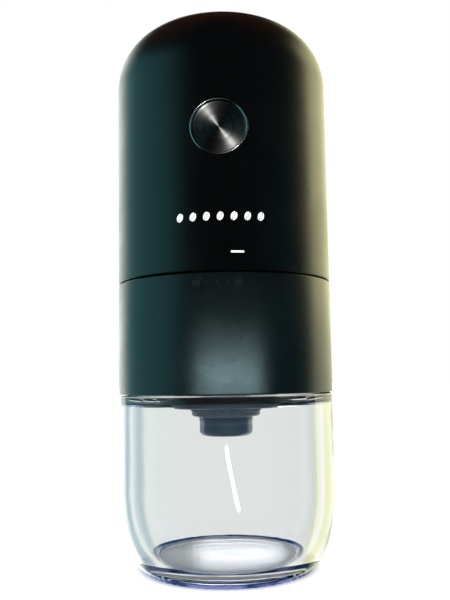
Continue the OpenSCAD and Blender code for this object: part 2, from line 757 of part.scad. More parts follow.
module planet(i) color([0.92, 0.91, 0.88])
    // with these tooth numbers all three planets stand at the same angle: a gap towards the pinion's tooth
    translate([centre_r * cos(120 * i), centre_r * sin(120 * i), planet_z]) rotate([0, 0, 180 / planet_n]) difference() {
        gear(planet_n, gear_w);
        translate([0, 0, -1]) cylinder(r = 1 + slip, h = gear_w + 2);
    }

glass_jar();
foot_ring();
base_label();
jar_seal();
chamber_shell();
lock_marks();
thread_collar();
burr_housing();
bean_funnel();
bin_rim();
outer_burr();
burr_retainer();
spindle_bridge();
bridge_bush();
spindle();
spindle_key();
spindle_clip();
burr_spring();
inner_burr();
burr_carrier();
adjuster_dial();
adjuster_cap();
adjuster_nut();
drive_seal();
drive_housing();
printed_marks();
button_bezel();
button_cap();
button_stem();
drive_base();
bayonet_ring();
base_screws();
chassis();
battery_cells();
battery_tabs();
main_board();
tact_switch();
small_screws();
charge_board();
charge_socket();
gearbox_case();
gearbox_cover();
output_bush();
dust_seal();
motor_plate();
motor_screws();
motor_can();
motor_magnets();
motor_end_bell();
motor_terminals();
top_clamp();
motor_shaft();
armature();
commutator();
sun_pinion();
planet_carrier();
drive_dog();
planet(0);  // planet_gear_1
planet(1);  // planet_gear_2
planet(2);  // planet_gear_3
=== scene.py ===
"""Looks of a cordless burr coffee grinder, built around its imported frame.

Lengths in the classes are millimetres in the grinder's own frame: Z is the axis of the jar and the
drive unit, and the button faces -Y. Meshes are scaled to metres when a piece is finished.
"""

import json
import logging
import math
from dataclasses import dataclass, field
from enum import Enum
from functools import partial
from typing import NamedTuple

import bmesh
import bpy
from mathutils import Matrix, Vector

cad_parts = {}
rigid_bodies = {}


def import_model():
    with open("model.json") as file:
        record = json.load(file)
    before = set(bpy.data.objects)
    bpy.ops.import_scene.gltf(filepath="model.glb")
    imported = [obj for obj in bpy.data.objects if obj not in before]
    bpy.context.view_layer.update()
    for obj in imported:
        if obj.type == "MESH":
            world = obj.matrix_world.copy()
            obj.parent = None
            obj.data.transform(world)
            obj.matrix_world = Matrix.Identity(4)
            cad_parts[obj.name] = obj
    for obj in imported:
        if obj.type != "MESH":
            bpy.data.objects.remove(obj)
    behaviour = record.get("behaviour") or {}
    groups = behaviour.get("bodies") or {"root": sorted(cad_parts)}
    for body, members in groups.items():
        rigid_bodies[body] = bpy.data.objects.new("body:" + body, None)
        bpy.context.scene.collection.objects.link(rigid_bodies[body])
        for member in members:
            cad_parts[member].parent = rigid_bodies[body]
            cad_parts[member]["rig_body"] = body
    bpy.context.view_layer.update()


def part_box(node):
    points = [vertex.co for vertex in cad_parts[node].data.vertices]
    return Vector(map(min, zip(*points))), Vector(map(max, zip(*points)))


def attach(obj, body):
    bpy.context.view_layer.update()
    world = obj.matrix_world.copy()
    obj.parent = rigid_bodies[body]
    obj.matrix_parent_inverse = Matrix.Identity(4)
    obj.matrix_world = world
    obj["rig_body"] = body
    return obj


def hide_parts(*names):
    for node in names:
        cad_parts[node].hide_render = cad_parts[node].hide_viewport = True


MM = 0.001
SENSOR_WIDTH = 36
FLOOR_REACH = 6000
BACKDROP_EDGE = 8
LOG = logging.getLogger("grinder")
Colour = tuple[float, float, float]


class Reach(NamedTuple):
    """How far a round part of the frame reaches, in millimetres.

    Attributes:
        radius: its outer radius.
        bottom: its lowest level.
        top: its highest level.
    """

    radius: float
    bottom: float
    top: float


def reach(node: str) -> Reach:
    """Reads a round node's reach from the frame.

    Args:
        node: name of a node whose axis is Z.

    Returns:
        Its outer radius and its lowest and highest level, in millimetres.
    """
    low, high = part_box(node)
    return Reach(high.x / MM, low.z / MM, high.z / MM)


def from_frame(node: str) -> Reach:
    """A dataclass field that holds a node's reach."""
    return field(default_factory=partial(reach, node))


# ---------------------------------------------------------------------------------------------
# Modelling
# ---------------------------------------------------------------------------------------------


class Profile:
    """A half-section in the XZ plane that grows point by point and is then turned on a lathe."""

    def __init__(self, radius: float, level: float) -> None:
        """Starts the outline.

        Args:
            radius: distance of the first point from the axis.
            level: height of the first point.
        """
        self.bm = bmesh.new()
        self.start = self.bm.verts.new((radius, 0.0, level))
        self.tip = self.start
        self.rounded: list[tuple[bmesh.types.BMVert, float]] = []

    def to(self, radius: float, level: float, rounding: float = 0.0) -> "Profile":
        """Draws a straight line.

        Args:
            radius: distance of the line's end from the axis.
            level: height of the line's end.
            rounding: how far back from that corner its rounding starts.

        Returns:
            The profile itself, so that lines can be chained.
        """
        grown = bmesh.ops.extrude_vert_indiv(self.bm, verts=[self.tip])["verts"]
        self.tip = grown[0]
        self.tip.co = (radius, 0.0, level)
        if rounding:
            self.rounded.append((self.tip, rounding))
        return self

    def around(self, radius: float, level: float, degrees: float, steps: int,
               stretch: float = 1.0) -> "Profile":
        """Carries the outline round a centre.

        Args:
            radius: distance of the centre from the axis.
            level: height of the centre.
            degrees: angle of the arc, positive from the axis's outside upwards.
            steps: number of straight pieces in the arc.
            stretch: height of the arc's ellipse over its width.

        Returns:
            The profile itself.
        """
        centre = Matrix.Translation((-radius, 0.0, -level))
        before = set(self.bm.verts)
        begin = self.tip
        bmesh.ops.scale(self.bm, vec=(1, 1, 1 / stretch), space=centre, verts=[begin])
        turned = bmesh.ops.spin(self.bm, geom=[begin], cent=(radius, 0, level), axis=(0, -1, 0),
                                angle=math.radians(degrees), steps=steps, use_merge=False)
        self.tip = turned["geom_last"][0]
        arc = [vert for vert in self.bm.verts if vert not in before]
        bmesh.ops.scale(self.bm, vec=(1, 1, stretch), space=centre, verts=[begin, *arc])
        return self

    def close(self, rounding: float = 0.0) -> "Profile":
        """Joins the outline's end to its start.

        Args:
            rounding: how far back from the start its rounding begins.

        Returns:
            The profile itself.
        """
        self.bm.edges.new((self.tip, self.start))
        if rounding:
            self.rounded.append((self.start, rounding))
        return self

    def _round_corners(self) -> None:
        """Rounds the corners that asked for it, one size at a time."""
        for size in sorted({rounding for _, rounding in self.rounded}):
            corners = [vert for vert, rounding in self.rounded if rounding == size]
            bmesh.ops.bevel(self.bm, geom=corners, offset=size, offset_type="OFFSET", segments=4,
                            profile=0.5, affect="VERTICES", material=-1, clamp_overlap=True)

    def turn(self, steps: int = 128) -> bmesh.types.BMesh:
        """Turns the outline all the way round Z.

        Args:
            steps: number of facets round the axis.

        Returns:
            The closed mesh, in millimetres, with its faces outwards.
        """
        self._round_corners()
        outline = self.bm.verts[:] + self.bm.edges[:]
        bmesh.ops.spin(self.bm, geom=outline, cent=(0, 0, 0), axis=(0, 0, 1), angle=math.tau,
                       steps=steps, use_merge=True)
        bmesh.ops.remove_doubles(self.bm, verts=self.bm.verts[:], dist=1e-4)
        bmesh.ops.recalc_face_normals(self.bm, faces=self.bm.faces[:])
        return self.bm

    def sweep(self, degrees: float, steps: int, rise: float = 0.0) -> bmesh.types.BMesh:
        """Sweeps the closed outline part of the way round Z, as a solid.

        Args:
            degrees: how far round it goes, centred on the XZ plane.
            steps: number of facets along the sweep.
            rise: height gained on the way, centred on the outline's level.

        Returns:
            The closed mesh, in millimetres.
        """
        self._round_corners()
        bmesh.ops.contextual_create(self.bm, geom=self.bm.edges[:])
        solid = self.bm.verts[:] + self.bm.edges[:] + self.bm.faces[:]
        bmesh.ops.spin(self.bm, geom=solid, cent=(0, 0, 0), axis=(0, 0, 1),
                       angle=math.radians(degrees), steps=steps, dvec=(0, 0, rise / steps),
                       use_merge=False)
        half_back = Matrix.Rotation(math.radians(-degrees / 2), 4, "Z")
        bmesh.ops.transform(self.bm, matrix=Matrix.Translation((0, 0, -rise / 2)) @ half_back,
                            verts=self.bm.verts[:])
        bmesh.ops.recalc_face_normals(self.bm, faces=self.bm.faces[:])
        return self.bm


def finish_piece(bm: bmesh.types.BMesh, name: str, crease: float = 32.0) -> bpy.types.Object:
    """Turns a finished bmesh into an object at the origin.

    Args:
        bm: the mesh in millimetres; it is freed.
        name: the piece's name.
        crease: angle in degrees past which an edge is drawn sharp.

    Returns:
        The object, in metres.
    """
    bmesh.ops.scale(bm, vec=(MM, MM, MM), verts=bm.verts[:])
    mesh = bpy.data.meshes.new(name)
    bm.to_mesh(mesh)
    bm.free()
    mesh.shade_smooth()
    mesh.set_sharp_from_angle(angle=math.radians(crease))
    piece = bpy.data.objects.new(name, mesh)
    bpy.context.scene.collection.objects.link(piece)
    return piece


def place(bm: bmesh.types.BMesh, matrix: Matrix) -> bmesh.types.BMesh:
    """Moves a whole bmesh by a matrix, in millimetres, and returns it."""
    bmesh.ops.transform(bm, matrix=matrix, verts=bm.verts[:])
    return bm


def combine(piece: bpy.types.Object, tool: bpy.types.Object, operation: str = "DIFFERENCE",
            crease: float = 32.0) -> None:
    """Cuts a tool out of a piece, or adds it, and deletes the tool.

    Args:
        piece: the object that is changed.
        tool: a closed object in the same place.
        operation: the Boolean modifier's operation.
        crease: angle in degrees past which an edge is drawn sharp afterwards.
    """
    modifier = piece.modifiers.new("combine", "BOOLEAN")
    modifier.object = tool
    modifier.operation = operation
    modifier.solver = "EXACT"
    evaluated = piece.evaluated_get(bpy.context.evaluated_depsgraph_get())
    baked = bpy.data.meshes.new_from_object(evaluated)
    piece.modifiers.clear()
    spent = [piece.data, tool.data]
    piece.data = baked
    bpy.data.objects.remove(tool)
    for mesh in spent:
        bpy.data.meshes.remove(mesh)
    baked.name = piece.name
    baked.shade_smooth()
    baked.set_sharp_from_angle(angle=math.radians(crease))


def around_axis(tool: bmesh.types.BMesh, count: int, first: float = 0.0) -> bmesh.types.BMesh:
    """Repeats a bmesh at equal steps round Z.

    Args:
        tool: the mesh to repeat.
        count: how many there are in the end.
        first: angle in degrees of the first one.

    Returns:
        The same bmesh, with all the copies in it.
    """
    place(tool, Matrix.Rotation(math.radians(first), 4, "Z"))
    original = tool.verts[:] + tool.edges[:] + tool.faces[:]
    for index in range(1, count):
        copied = bmesh.ops.duplicate(tool, geom=original)["geom"]
        verts = [item for item in copied if isinstance(item, bmesh.types.BMVert)]
        bmesh.ops.rotate(tool, cent=(0, 0, 0), verts=verts,
                         matrix=Matrix.Rotation(math.tau * index / count, 3, "Z"))
    return tool


def knurl(bm: bmesh.types.BMesh, teeth: int, depth: float, bottom: float, top: float,
          inside: float) -> None:
    """Presses rounded flutes into the outside of a turned mesh.

    Args:
        bm: the mesh in millimetres; its facets should be a multiple of four times the teeth.
        teeth: number of flutes.
        depth: depth of a flute.
        bottom: lowest level that is pressed.
        top: highest level that is pressed.
        inside: points nearer the axis than this stay.
    """
    for vert in bm.verts:
        radius = vert.co.xy.length
        if radius < inside or not bottom <= vert.co.z <= top:
            continue
        wave = 0.5 - 0.5 * math.cos(teeth * math.atan2(vert.co.y, vert.co.x))
        vert.co.xy *= 1 - depth * wave / radius


def softened_copy(node: bpy.types.Object, name: str, width: float = 0.1) -> bpy.types.Object:
    """Copies a frame node, merges its loose triangles and softens its edges.

    Args:
        node: the frame's object, which stays as it is.
        name: the copy's name.
        width: width of the softened edges, in millimetres.

    Returns:
        The copy, with a live Bevel modifier.
    """
    bm = bmesh.new()
    bm.from_mesh(node.data)
    bmesh.ops.remove_doubles(bm, verts=bm.verts[:], dist=1e-6)
    bmesh.ops.dissolve_degenerate(bm, dist=1e-6, edges=bm.edges[:])
    bmesh.ops.scale(bm, vec=(1 / MM,) * 3, verts=bm.verts[:])
    piece = finish_piece(bm, name)
    modifier = piece.modifiers.new("soft edges", "BEVEL")
    modifier.width = width * MM
    modifier.segments = 2
    modifier.limit_method = "ANGLE"
    modifier.angle_limit = math.radians(38)
    modifier.harden_normals = True
    return piece


# ---------------------------------------------------------------------------------------------
# Materials
# ---------------------------------------------------------------------------------------------


class Graph:
    """Adds and links nodes in one node tree."""

    def __init__(self, tree: bpy.types.NodeTree) -> None:
        """Takes the tree that the nodes go in."""
        self.tree = tree

    def feed(self, socket: bpy.types.NodeSocket, value: object) -> None:
        """Links a socket to another, or sets its value.

        Args:
            socket: the input that is fed.
            value: an output socket, or the value to set.
        """
        if isinstance(value, bpy.types.NodeSocket):
            self.tree.links.new(value, socket)
        else:
            socket.default_value = value

    def node(self, kind: str, inputs: dict | None = None, **attributes: object) -> bpy.types.Node:
        """Adds a node.

        Args:
            kind: the node's type name, without its ShaderNode prefix.
            inputs: what each named or numbered input is fed.
            **attributes: the node's own settings.

        Returns:
            The new node.
        """
        node = self.tree.nodes.new("ShaderNode" + kind)
        for name, value in attributes.items():
            setattr(node, name, value)
        for key, value in (inputs or {}).items():
            self.feed(node.inputs[key], value)
        return node

    def math(self, operation: str, first: object, second: object = 0.0) -> bpy.types.NodeSocket:
        """Works out one sum and returns its socket."""
        return self.node("Math", {0: first, 1: second}, operation=operation).outputs[0]

    def spread(self, value: object, low: float, high: float, start: float = 0.0,
               end: float = 1.0) -> bpy.types.NodeSocket:
        """Maps low..high smoothly to start..end and returns the socket."""
        ranged = self.node("MapRange", {"Value": value, "From Min": low, "From Max": high,
                                        "To Min": start, "To Max": end},
                           interpolation_type="SMOOTHSTEP")
        return ranged.outputs["Result"]

    def blend(self, factor: object, first: object, second: object) -> bpy.types.NodeSocket:
        """Mixes two colours and returns the socket."""
        mix = self.node("Mix", {0: factor, 6: first, 7: second}, data_type="RGBA")
        return mix.outputs[2]

    def group(self, tree: bpy.types.NodeTree, **inputs: object) -> bpy.types.Node:
        """Places a node group; underscores in the input names stand for spaces.

        Args:
            tree: the node group.
            **inputs: what each input is fed.

        Returns:
            The new node.
        """
        node = self.node("Group", node_tree=tree)
        for name, value in inputs.items():
            self.feed(node.inputs[name.replace("_", " ")], value)
        return node


class Effect(Graph):
    """A shader node group with named inputs and outputs, built once and shared."""

    def __init__(self, name: str, inputs: dict[str, float], outputs: list[str]) -> None:
        """Opens the group.

        Args:
            name: the group's name.
            inputs: its number inputs and their values; a Vector input is always there.
            outputs: its number outputs.
        """
        tree = bpy.data.node_groups.new(name, "ShaderNodeTree")
        super().__init__(tree)
        tree.interface.new_socket("Vector", in_out="INPUT", socket_type="NodeSocketVector")
        for title, value in inputs.items():
            socket = tree.interface.new_socket(title, in_out="INPUT", socket_type="NodeSocketFloat")
            socket.default_value = value
        for title in outputs:
            tree.interface.new_socket(title, in_out="OUTPUT", socket_type="NodeSocketFloat")
        self.entry = tree.nodes.new("NodeGroupInput").outputs
        self.exit = tree.nodes.new("NodeGroupOutput").inputs

    def noise(self, size: object, detail: float = 2.0,
              vector: bpy.types.NodeSocket | None = None) -> bpy.types.NodeSocket:
        """Noise whose features have a size in metres; returns its value.

        Args:
            size: size of the features.
            detail: how fine the smallest features get.
            vector: the coordinates; the group's own if left out.

        Returns:
            The socket with its value.
        """
        scale = self.math("DIVIDE", 1.0, size)
        found = self.node("TexNoise", {"Vector": vector or self.entry["Vector"], "Scale": scale,
                                       "Detail": detail})
        return found.outputs["Fac"]


def grain_effect() -> bpy.types.NodeTree:
    """Fine pitted grain of moulded plastic, with slow patches in its gloss.

    Returns:
        The group.
    """
    effect = Effect("Moulded Grain", {"Size": 0.0003}, ["Height", "Patches"])
    size = effect.entry["Size"]
    effect.feed(effect.exit["Height"], effect.spread(effect.noise(size, 3.0), 0.3, 0.7))
    broad = effect.math("MULTIPLY", size, 55.0)
    effect.feed(effect.exit["Patches"], effect.spread(effect.noise(broad, 3.0), 0.3, 0.7, -1, 1))
    return effect.tree


def wear_effect() -> bpy.types.NodeTree:
    """Rubbed edges: where the surface turns within a radius, broken up by noise.

    Returns:
        The group.
    """
    effect = Effect("Edge Wear", {"Radius": 0.0004, "Break Up": 0.004}, ["Mask"])
    bevel = effect.node("Bevel", {"Radius": effect.entry["Radius"]}, samples=3)
    geometry = effect.node("NewGeometry")
    turn = effect.node("VectorMath", {0: bevel.outputs[0], 1: geometry.outputs["Normal"]},
                       operation="DOT_PRODUCT")
    edge = effect.spread(turn.outputs["Value"], 0.985, 0.8)
    patchy = effect.spread(effect.noise(effect.entry["Break Up"], 4.0), 0.42, 0.6)
    effect.feed(effect.exit["Mask"], effect.math("MULTIPLY", edge, patchy))
    return effect.tree


def dust_effect() -> bpy.types.NodeTree:
    """Fine dust on faces that look up.

    Returns:
        The group.
    """
    effect = Effect("Settled Dust", {"Size": 0.0006, "Amount": 0.5}, ["Mask"])
    geometry = effect.node("NewGeometry")
    axes = effect.node("SeparateXYZ", {0: geometry.outputs["Normal"]})
    facing_up = effect.spread(axes.outputs["Z"], 0.5, 1.0)
    specks = effect.spread(effect.noise(effect.entry["Size"], 5.0), 0.5, 0.75)
    settled = effect.math("MULTIPLY", facing_up, specks)
    effect.feed(effect.exit["Mask"], effect.math("MULTIPLY", settled, effect.entry["Amount"]))
    return effect.tree


def turning_effect() -> bpy.types.NodeTree:
    """Tool rings left by turning or spin brushing round the Z of the given vector.

    Returns:
        The group.
    """
    effect = Effect("Turned Rings", {"Pitch": 0.0002}, ["Height", "Tone"])
    axes = effect.node("SeparateXYZ", {0: effect.entry["Vector"]})
    across = effect.node("CombineXYZ", {0: axes.outputs["X"], 1: axes.outputs["Y"]})
    radius = effect.node("VectorMath", {0: across.outputs[0]}, operation="LENGTH")
    along = effect.math("ADD", radius.outputs["Value"], axes.outputs["Z"])
    fine = effect.node("TexNoise", {"W": effect.math("DIVIDE", along, effect.entry["Pitch"]),
                                    "Scale": 1.0, "Detail": 3.0}, noise_dimensions="1D")
    coarse_w = effect.math("DIVIDE", along, effect.math("MULTIPLY", effect.entry["Pitch"], 9.0))
    coarse = effect.node("TexNoise", {"W": coarse_w, "Scale": 1.0, "Detail": 2.0},
                         noise_dimensions="1D")
    effect.feed(effect.exit["Height"], fine.outputs["Fac"])
    effect.feed(effect.exit["Tone"], effect.spread(coarse.outputs["Fac"], 0.3, 0.7))
    return effect.tree


def mottle_effect() -> bpy.types.NodeTree:
    """Slow unevenness: a factor from 0 to 1 that a finish can use as it likes.

    Returns:
        The group.
    """
    effect = Effect("Mottle", {"Size": 0.01}, ["Factor"])
    slow = effect.noise(effect.entry["Size"], 4.0)
    effect.feed(effect.exit["Factor"], effect.spread(slow, 0.3, 0.7))
    return effect.tree


def draw_line_effect() -> bpy.types.NodeTree:
    """Faint upright lines round the axis, as in pressed glass and drawn metal.

    Returns:
        The group.
    """
    effect = Effect("Drawn Lines", {"Count": 90.0}, ["Height"])
    axes = effect.node("SeparateXYZ", {0: effect.entry["Vector"]})
    angle = effect.math("ARCTAN2", axes.outputs["Y"], axes.outputs["X"])
    turned = effect.math("MULTIPLY", angle, effect.math("DIVIDE", effect.entry["Count"], math.tau))
    slow = effect.math("MULTIPLY", axes.outputs["Z"], 6.0)
    spot = effect.node("CombineXYZ", {0: turned, 1: slow})
    lines = effect.node("TexNoise", {"Vector": spot.outputs[0], "Scale": 1.0, "Detail": 2.0})
    effect.feed(effect.exit["Height"], lines.outputs["Fac"])
    return effect.tree


def coil_effect() -> bpy.types.NodeTree:
    """Ridges of wound wire, a pitch apart along Z.

    Returns:
        The group.
    """
    effect = Effect("Wound Wire", {"Pitch": 0.0005}, ["Height"])
    axes = effect.node("SeparateXYZ", {0: effect.entry["Vector"]})
    turns = effect.math("DIVIDE", axes.outputs["Z"], effect.entry["Pitch"])
    wave = effect.math("SINE", effect.math("MULTIPLY", turns, math.tau))
    effect.feed(effect.exit["Height"], effect.spread(wave, -1.0, 1.0))
    return effect.tree


class Effects:
    """The shared effects, each built on first use.

    Attributes:
        built: the groups that are built so far, by name.
    """

    MAKERS = {"grain": grain_effect, "wear": wear_effect, "dust": dust_effect,
              "rings": turning_effect, "mottle": mottle_effect, "lines": draw_line_effect,
              "coil": coil_effect}
    built: dict[str, bpy.types.NodeTree] = {}

    @classmethod
    def get(cls, name: str) -> bpy.types.NodeTree:
        """Returns the named effect's group.

        Args:
            name: the effect's name in MAKERS.

        Returns:
            The group.
        """
        if name not in cls.built:
            cls.built[name] = cls.MAKERS[name]()
        return cls.built[name]


class Surface(Graph):
    """One material, with its Principled shader and its Object coordinates ready."""

    def __init__(self, name: str) -> None:
        """Opens a new material by this name.

        Args:
            name: the material's name.
        """
        self.material = bpy.data.materials.new(name)
        self.material.use_nodes = True
        super().__init__(self.material.node_tree)
        self.shader = self.tree.nodes["Principled BSDF"]
        self.coords = self.node("TexCoord").outputs["Object"]

    def effect(self, name: str, **inputs: object) -> bpy.types.Node:
        """Places a shared effect on this material's coordinates, unless a Vector is given."""
        inputs.setdefault("Vector", self.coords)
        return self.group(Effects.get(name), **inputs)

    def set(self, **inputs: object) -> None:
        """Feeds the shader's sockets; underscores in the names stand for spaces."""
        for name, value in inputs.items():
            self.feed(self.shader.inputs[name.replace("_", " ")], value)

    def bump(self, height: bpy.types.NodeSocket, depth: float) -> None:
        """Feeds the shader's Normal from a height of 0 to 1 and a depth in metres."""
        bump = self.node("Bump", {"Height": height, "Distance": depth})
        self.feed(self.shader.inputs["Normal"], bump.outputs[0])


def rgba(colour: Colour) -> tuple[float, float, float, float]:
    """Adds full opacity to a colour."""
    return (*colour, 1.0)


def scaled(colour: Colour, factor: float) -> Colour:
    """Brightens or darkens a colour."""
    return tuple(min(1.0, part * factor) for part in colour)


class TurnAxis(Enum):
    """The line that a turned pattern runs round."""

    UPRIGHT = "the grinder's own axis"
    BUTTON = "the axis of the button"


@dataclass(frozen=True)
class Finish:
    """What every finish has.

    Attributes:
        slot: the record's material slot.
        colour: the base colour.
        roughness: the base roughness.
    """

    slot: str
    colour: Colour
    roughness: float

    def dress(self, surface: Surface) -> None:
        """Builds this finish's nodes; each kind of finish has its own."""
        raise NotImplementedError

    def material(self) -> bpy.types.Material:
        """Returns the material, and builds it on first use.

        Returns:
            The material.
        """
        name = self.slot + "_finish"
        known = bpy.data.materials.get(name)
        if known is None:
            surface = Surface(name)
            surface.set(Base_Color=rgba(self.colour), Roughness=self.roughness)
            self.dress(surface)
            known = surface.material
        return known


@dataclass(frozen=True)
class Moulding(Finish):
    """Moulded plastic with a fine grain, rubbed edges and a little dust.

    Attributes:
        grain: size of the grain in metres.
        depth: depth of the grain in metres.
        wear: how strongly rubbed edges brighten, from 0 to 1.
        dust: how much dust lies on it, from 0 to 1.
        gloss: weight of a clear coat.
        level: specular level.
    """

    grain: float = 0.0003
    depth: float = 0.000012
    wear: float = 0.35
    dust: float = 0.25
    gloss: float = 0.0
    level: float = 0.5

    def dress(self, surface: Surface) -> None:
        """Mixes the wear and the dust into the colour, and the grain into gloss and normal.

        Args:
            surface: the material that is built.
        """
        grain = surface.effect("grain", Size=self.grain)
        worn = surface.effect("wear")
        dusty = surface.effect("dust", Amount=self.dust)
        mottle = surface.effect("mottle", Size=0.012)
        tint = surface.blend(mottle.outputs["Factor"], rgba(scaled(self.colour, 0.86)),
                             rgba(scaled(self.colour, 1.14)))
        rubbed = surface.math("MULTIPLY", worn.outputs["Mask"], self.wear)
        edged = surface.blend(rubbed, tint, rgba(scaled(self.colour, 3.0)))
        dust_colour = rgba(tuple(0.4 * part + 0.12 for part in self.colour))
        surface.set(Base_Color=surface.blend(dusty.outputs["Mask"], edged, dust_colour))
        shift = surface.math("MULTIPLY", grain.outputs["Patches"], 0.03)
        polished = surface.math("MULTIPLY", rubbed, -0.12)
        matt = surface.math("MULTIPLY", dusty.outputs["Mask"], 0.3)
        spread = surface.math("ADD", surface.math("ADD", shift, polished), matt)
        surface.set(Roughness=surface.math("ADD", spread, self.roughness))
        surface.set(Specular_IOR_Level=self.level, Coat_Weight=self.gloss, Coat_Roughness=0.08)
        surface.bump(grain.outputs["Height"], self.depth)


@dataclass(frozen=True)
class TurnedMetal(Finish):
    """Metal with tool rings round an axis.

    Attributes:
        pitch: distance between the finest rings, in metres.
        depth: depth of the rings in metres.
        axis: the axis that the rings run round.
        centre: height of that axis's centre in metres, for the button.
        stretch: how far brushing stretches the highlights, from 0 to 1.
    """

    pitch: float = 0.0002
    depth: float = 0.000004
    axis: TurnAxis = TurnAxis.UPRIGHT
    centre: float = 0.0
    stretch: float = 0.0

    def dress(self, surface: Surface) -> None:
        """Turns the rings onto their axis, and stretches the highlights across them.

        Args:
            surface: the material that is built.
        """
        vector = surface.coords
        if self.axis is TurnAxis.BUTTON:
            middle = Vector((0, 0, -self.centre))
            centred = surface.node("Mapping", {"Vector": vector, "Location": middle})
            upright = surface.node("Mapping", {"Vector": centred.outputs[0],
                                               "Rotation": (math.pi / 2, 0, 0)})
            vector = upright.outputs[0]
            outwards = surface.node("VectorMath", {0: centred.outputs[0], 1: (1, 0, 1)},
                                    operation="MULTIPLY")
            across = surface.node("VectorMath", {0: outwards.outputs[0]}, operation="NORMALIZE")
            surface.set(Tangent=across.outputs[0])
        rings = surface.effect("rings", Vector=vector, Pitch=self.pitch)
        mottle = surface.effect("mottle", Size=0.006)
        worn = surface.effect("wear", Radius=0.0002)
        tone = surface.blend(rings.outputs["Tone"], rgba(scaled(self.colour, 0.82)),
                             rgba(scaled(self.colour, 1.15)))
        surface.set(Base_Color=surface.blend(worn.outputs["Mask"], tone,
                                             rgba(scaled(self.colour, 1.35))))
        shift = surface.math("MULTIPLY", rings.outputs["Height"], 0.08)
        smear = surface.math("MULTIPLY", mottle.outputs["Factor"], 0.05)
        rough = surface.math("ADD", surface.math("ADD", shift, smear), self.roughness - 0.06)
        surface.set(Metallic=1.0, Roughness=rough, Anisotropic=self.stretch)
        surface.bump(rings.outputs["Height"], self.depth)


@dataclass(frozen=True)
class PressedGlass(Finish):
    """Clear glass with faint upright lines and the ripple of a pressed wall."""

    def dress(self, surface: Surface) -> None:
        """Puts the lines and the ripple in the normal only, so that the glass stays clear.

        Args:
            surface: the material that is built.
        """
        lines = surface.effect("lines", Count=70.0)
        ripple = surface.effect("mottle", Size=0.02)
        rise = surface.math("ADD", surface.math("MULTIPLY", lines.outputs["Height"], 0.4),
                            ripple.outputs["Factor"])
        surface.set(Transmission_Weight=1.0, IOR=1.47)
        surface.bump(rise, 0.00003)


@dataclass(frozen=True)
class TintedSilicone(Finish):
    """Cloudy tinted silicone whose depth of colour changes round the ring.

    Attributes:
        deep: the colour where it is thickest.
    """

    deep: Colour = (0.0, 0.06, 0.25)

    def dress(self, surface: Surface) -> None:
        """Clouds the colour in long patches and gives it a soft sheen.

        Args:
            surface: the material that is built.
        """
        cloud = surface.effect("mottle", Size=0.022)
        grain = surface.effect("grain", Size=0.0005)
        patches = surface.spread(cloud.outputs["Factor"], 0.35, 0.65)
        surface.set(Base_Color=surface.blend(patches, rgba(self.colour), rgba(self.deep)))
        surface.set(Coat_Weight=0.25, Coat_Roughness=0.2, Subsurface_Weight=0.15,
                    Subsurface_Scale=0.001)
        surface.bump(grain.outputs["Height"], 0.00001)


@dataclass(frozen=True)
class SoftSeal(Finish):
    """Matt silicone of a gasket, slightly see-through at its edges."""

    def dress(self, surface: Surface) -> None:
        """Gives it a fine bloom and a soft inside.

        Args:
            surface: the material that is built.
        """
        bloom = surface.effect("mottle", Size=0.003)
        grain = surface.effect("grain", Size=0.0002)
        surface.set(Base_Color=surface.blend(bloom.outputs["Factor"], rgba(self.colour),
                                             rgba(scaled(self.colour, 0.88))))
        surface.set(Subsurface_Weight=0.2, Subsurface_Scale=0.002)
        surface.bump(grain.outputs["Height"], 0.00001)


@dataclass(frozen=True)
class FiredCeramic(Finish):
    """Fired ceramic of the burrs, stained with coffee in patches.

    Attributes:
        stain: the colour of the stain.
    """

    stain: Colour = (0.30, 0.19, 0.10)

    def dress(self, surface: Surface) -> None:
        """Speckles the body and lets the stain gather in patches.

        Args:
            surface: the material that is built.
        """
        speck = surface.effect("grain", Size=0.0004)
        patch = surface.effect("mottle", Size=0.004)
        worn = surface.effect("wear", Radius=0.0003)
        stained = surface.math("MULTIPLY", surface.spread(patch.outputs["Factor"], 0.4, 1.0), 0.35)
        body = surface.blend(speck.outputs["Height"], rgba(scaled(self.colour, 0.93)),
                             rgba(self.colour))
        toned = surface.blend(stained, body, rgba(self.stain))
        surface.set(Base_Color=surface.blend(worn.outputs["Mask"], toned,
                                             rgba(scaled(self.colour, 1.06))))
        surface.bump(speck.outputs["Height"], 0.00002)


@dataclass(frozen=True)
class PrintedFilm(Finish):
    """Ink or film: flat colour with thin spots and the grain of what it is printed on."""

    def dress(self, surface: Surface) -> None:
        """Thins the ink in places.

        Args:
            surface: the material that is built.
        """
        thin = surface.effect("mottle", Size=0.0008)
        grain = surface.effect("grain", Size=0.0003)
        surface.set(Base_Color=surface.blend(thin.outputs["Factor"], rgba(scaled(self.colour, 0.9)),
                                             rgba(self.colour)))
        surface.bump(grain.outputs["Height"], 0.000006)


@dataclass(frozen=True)
class CircuitBoard(Finish):
    """Solder mask with copper tracks under it."""

    def dress(self, surface: Surface) -> None:
        """Draws tracks as thin cell borders under the mask.

        Args:
            surface: the material that is built.
        """
        cells = surface.node("TexVoronoi", {"Vector": surface.coords, "Scale": 420.0},
                             feature="DISTANCE_TO_EDGE", distance="EUCLIDEAN")
        track = surface.spread(cells.outputs["Distance"], 0.05, 0.12, 1.0, 0.0)
        grain = surface.effect("grain", Size=0.0002)
        surface.set(Base_Color=surface.blend(track, rgba(self.colour),
                                             rgba(scaled(self.colour, 2.0))))
        surface.set(Coat_Weight=0.4, Coat_Roughness=0.12)
        surface.bump(surface.math("ADD", track, grain.outputs["Height"]), 0.00001)


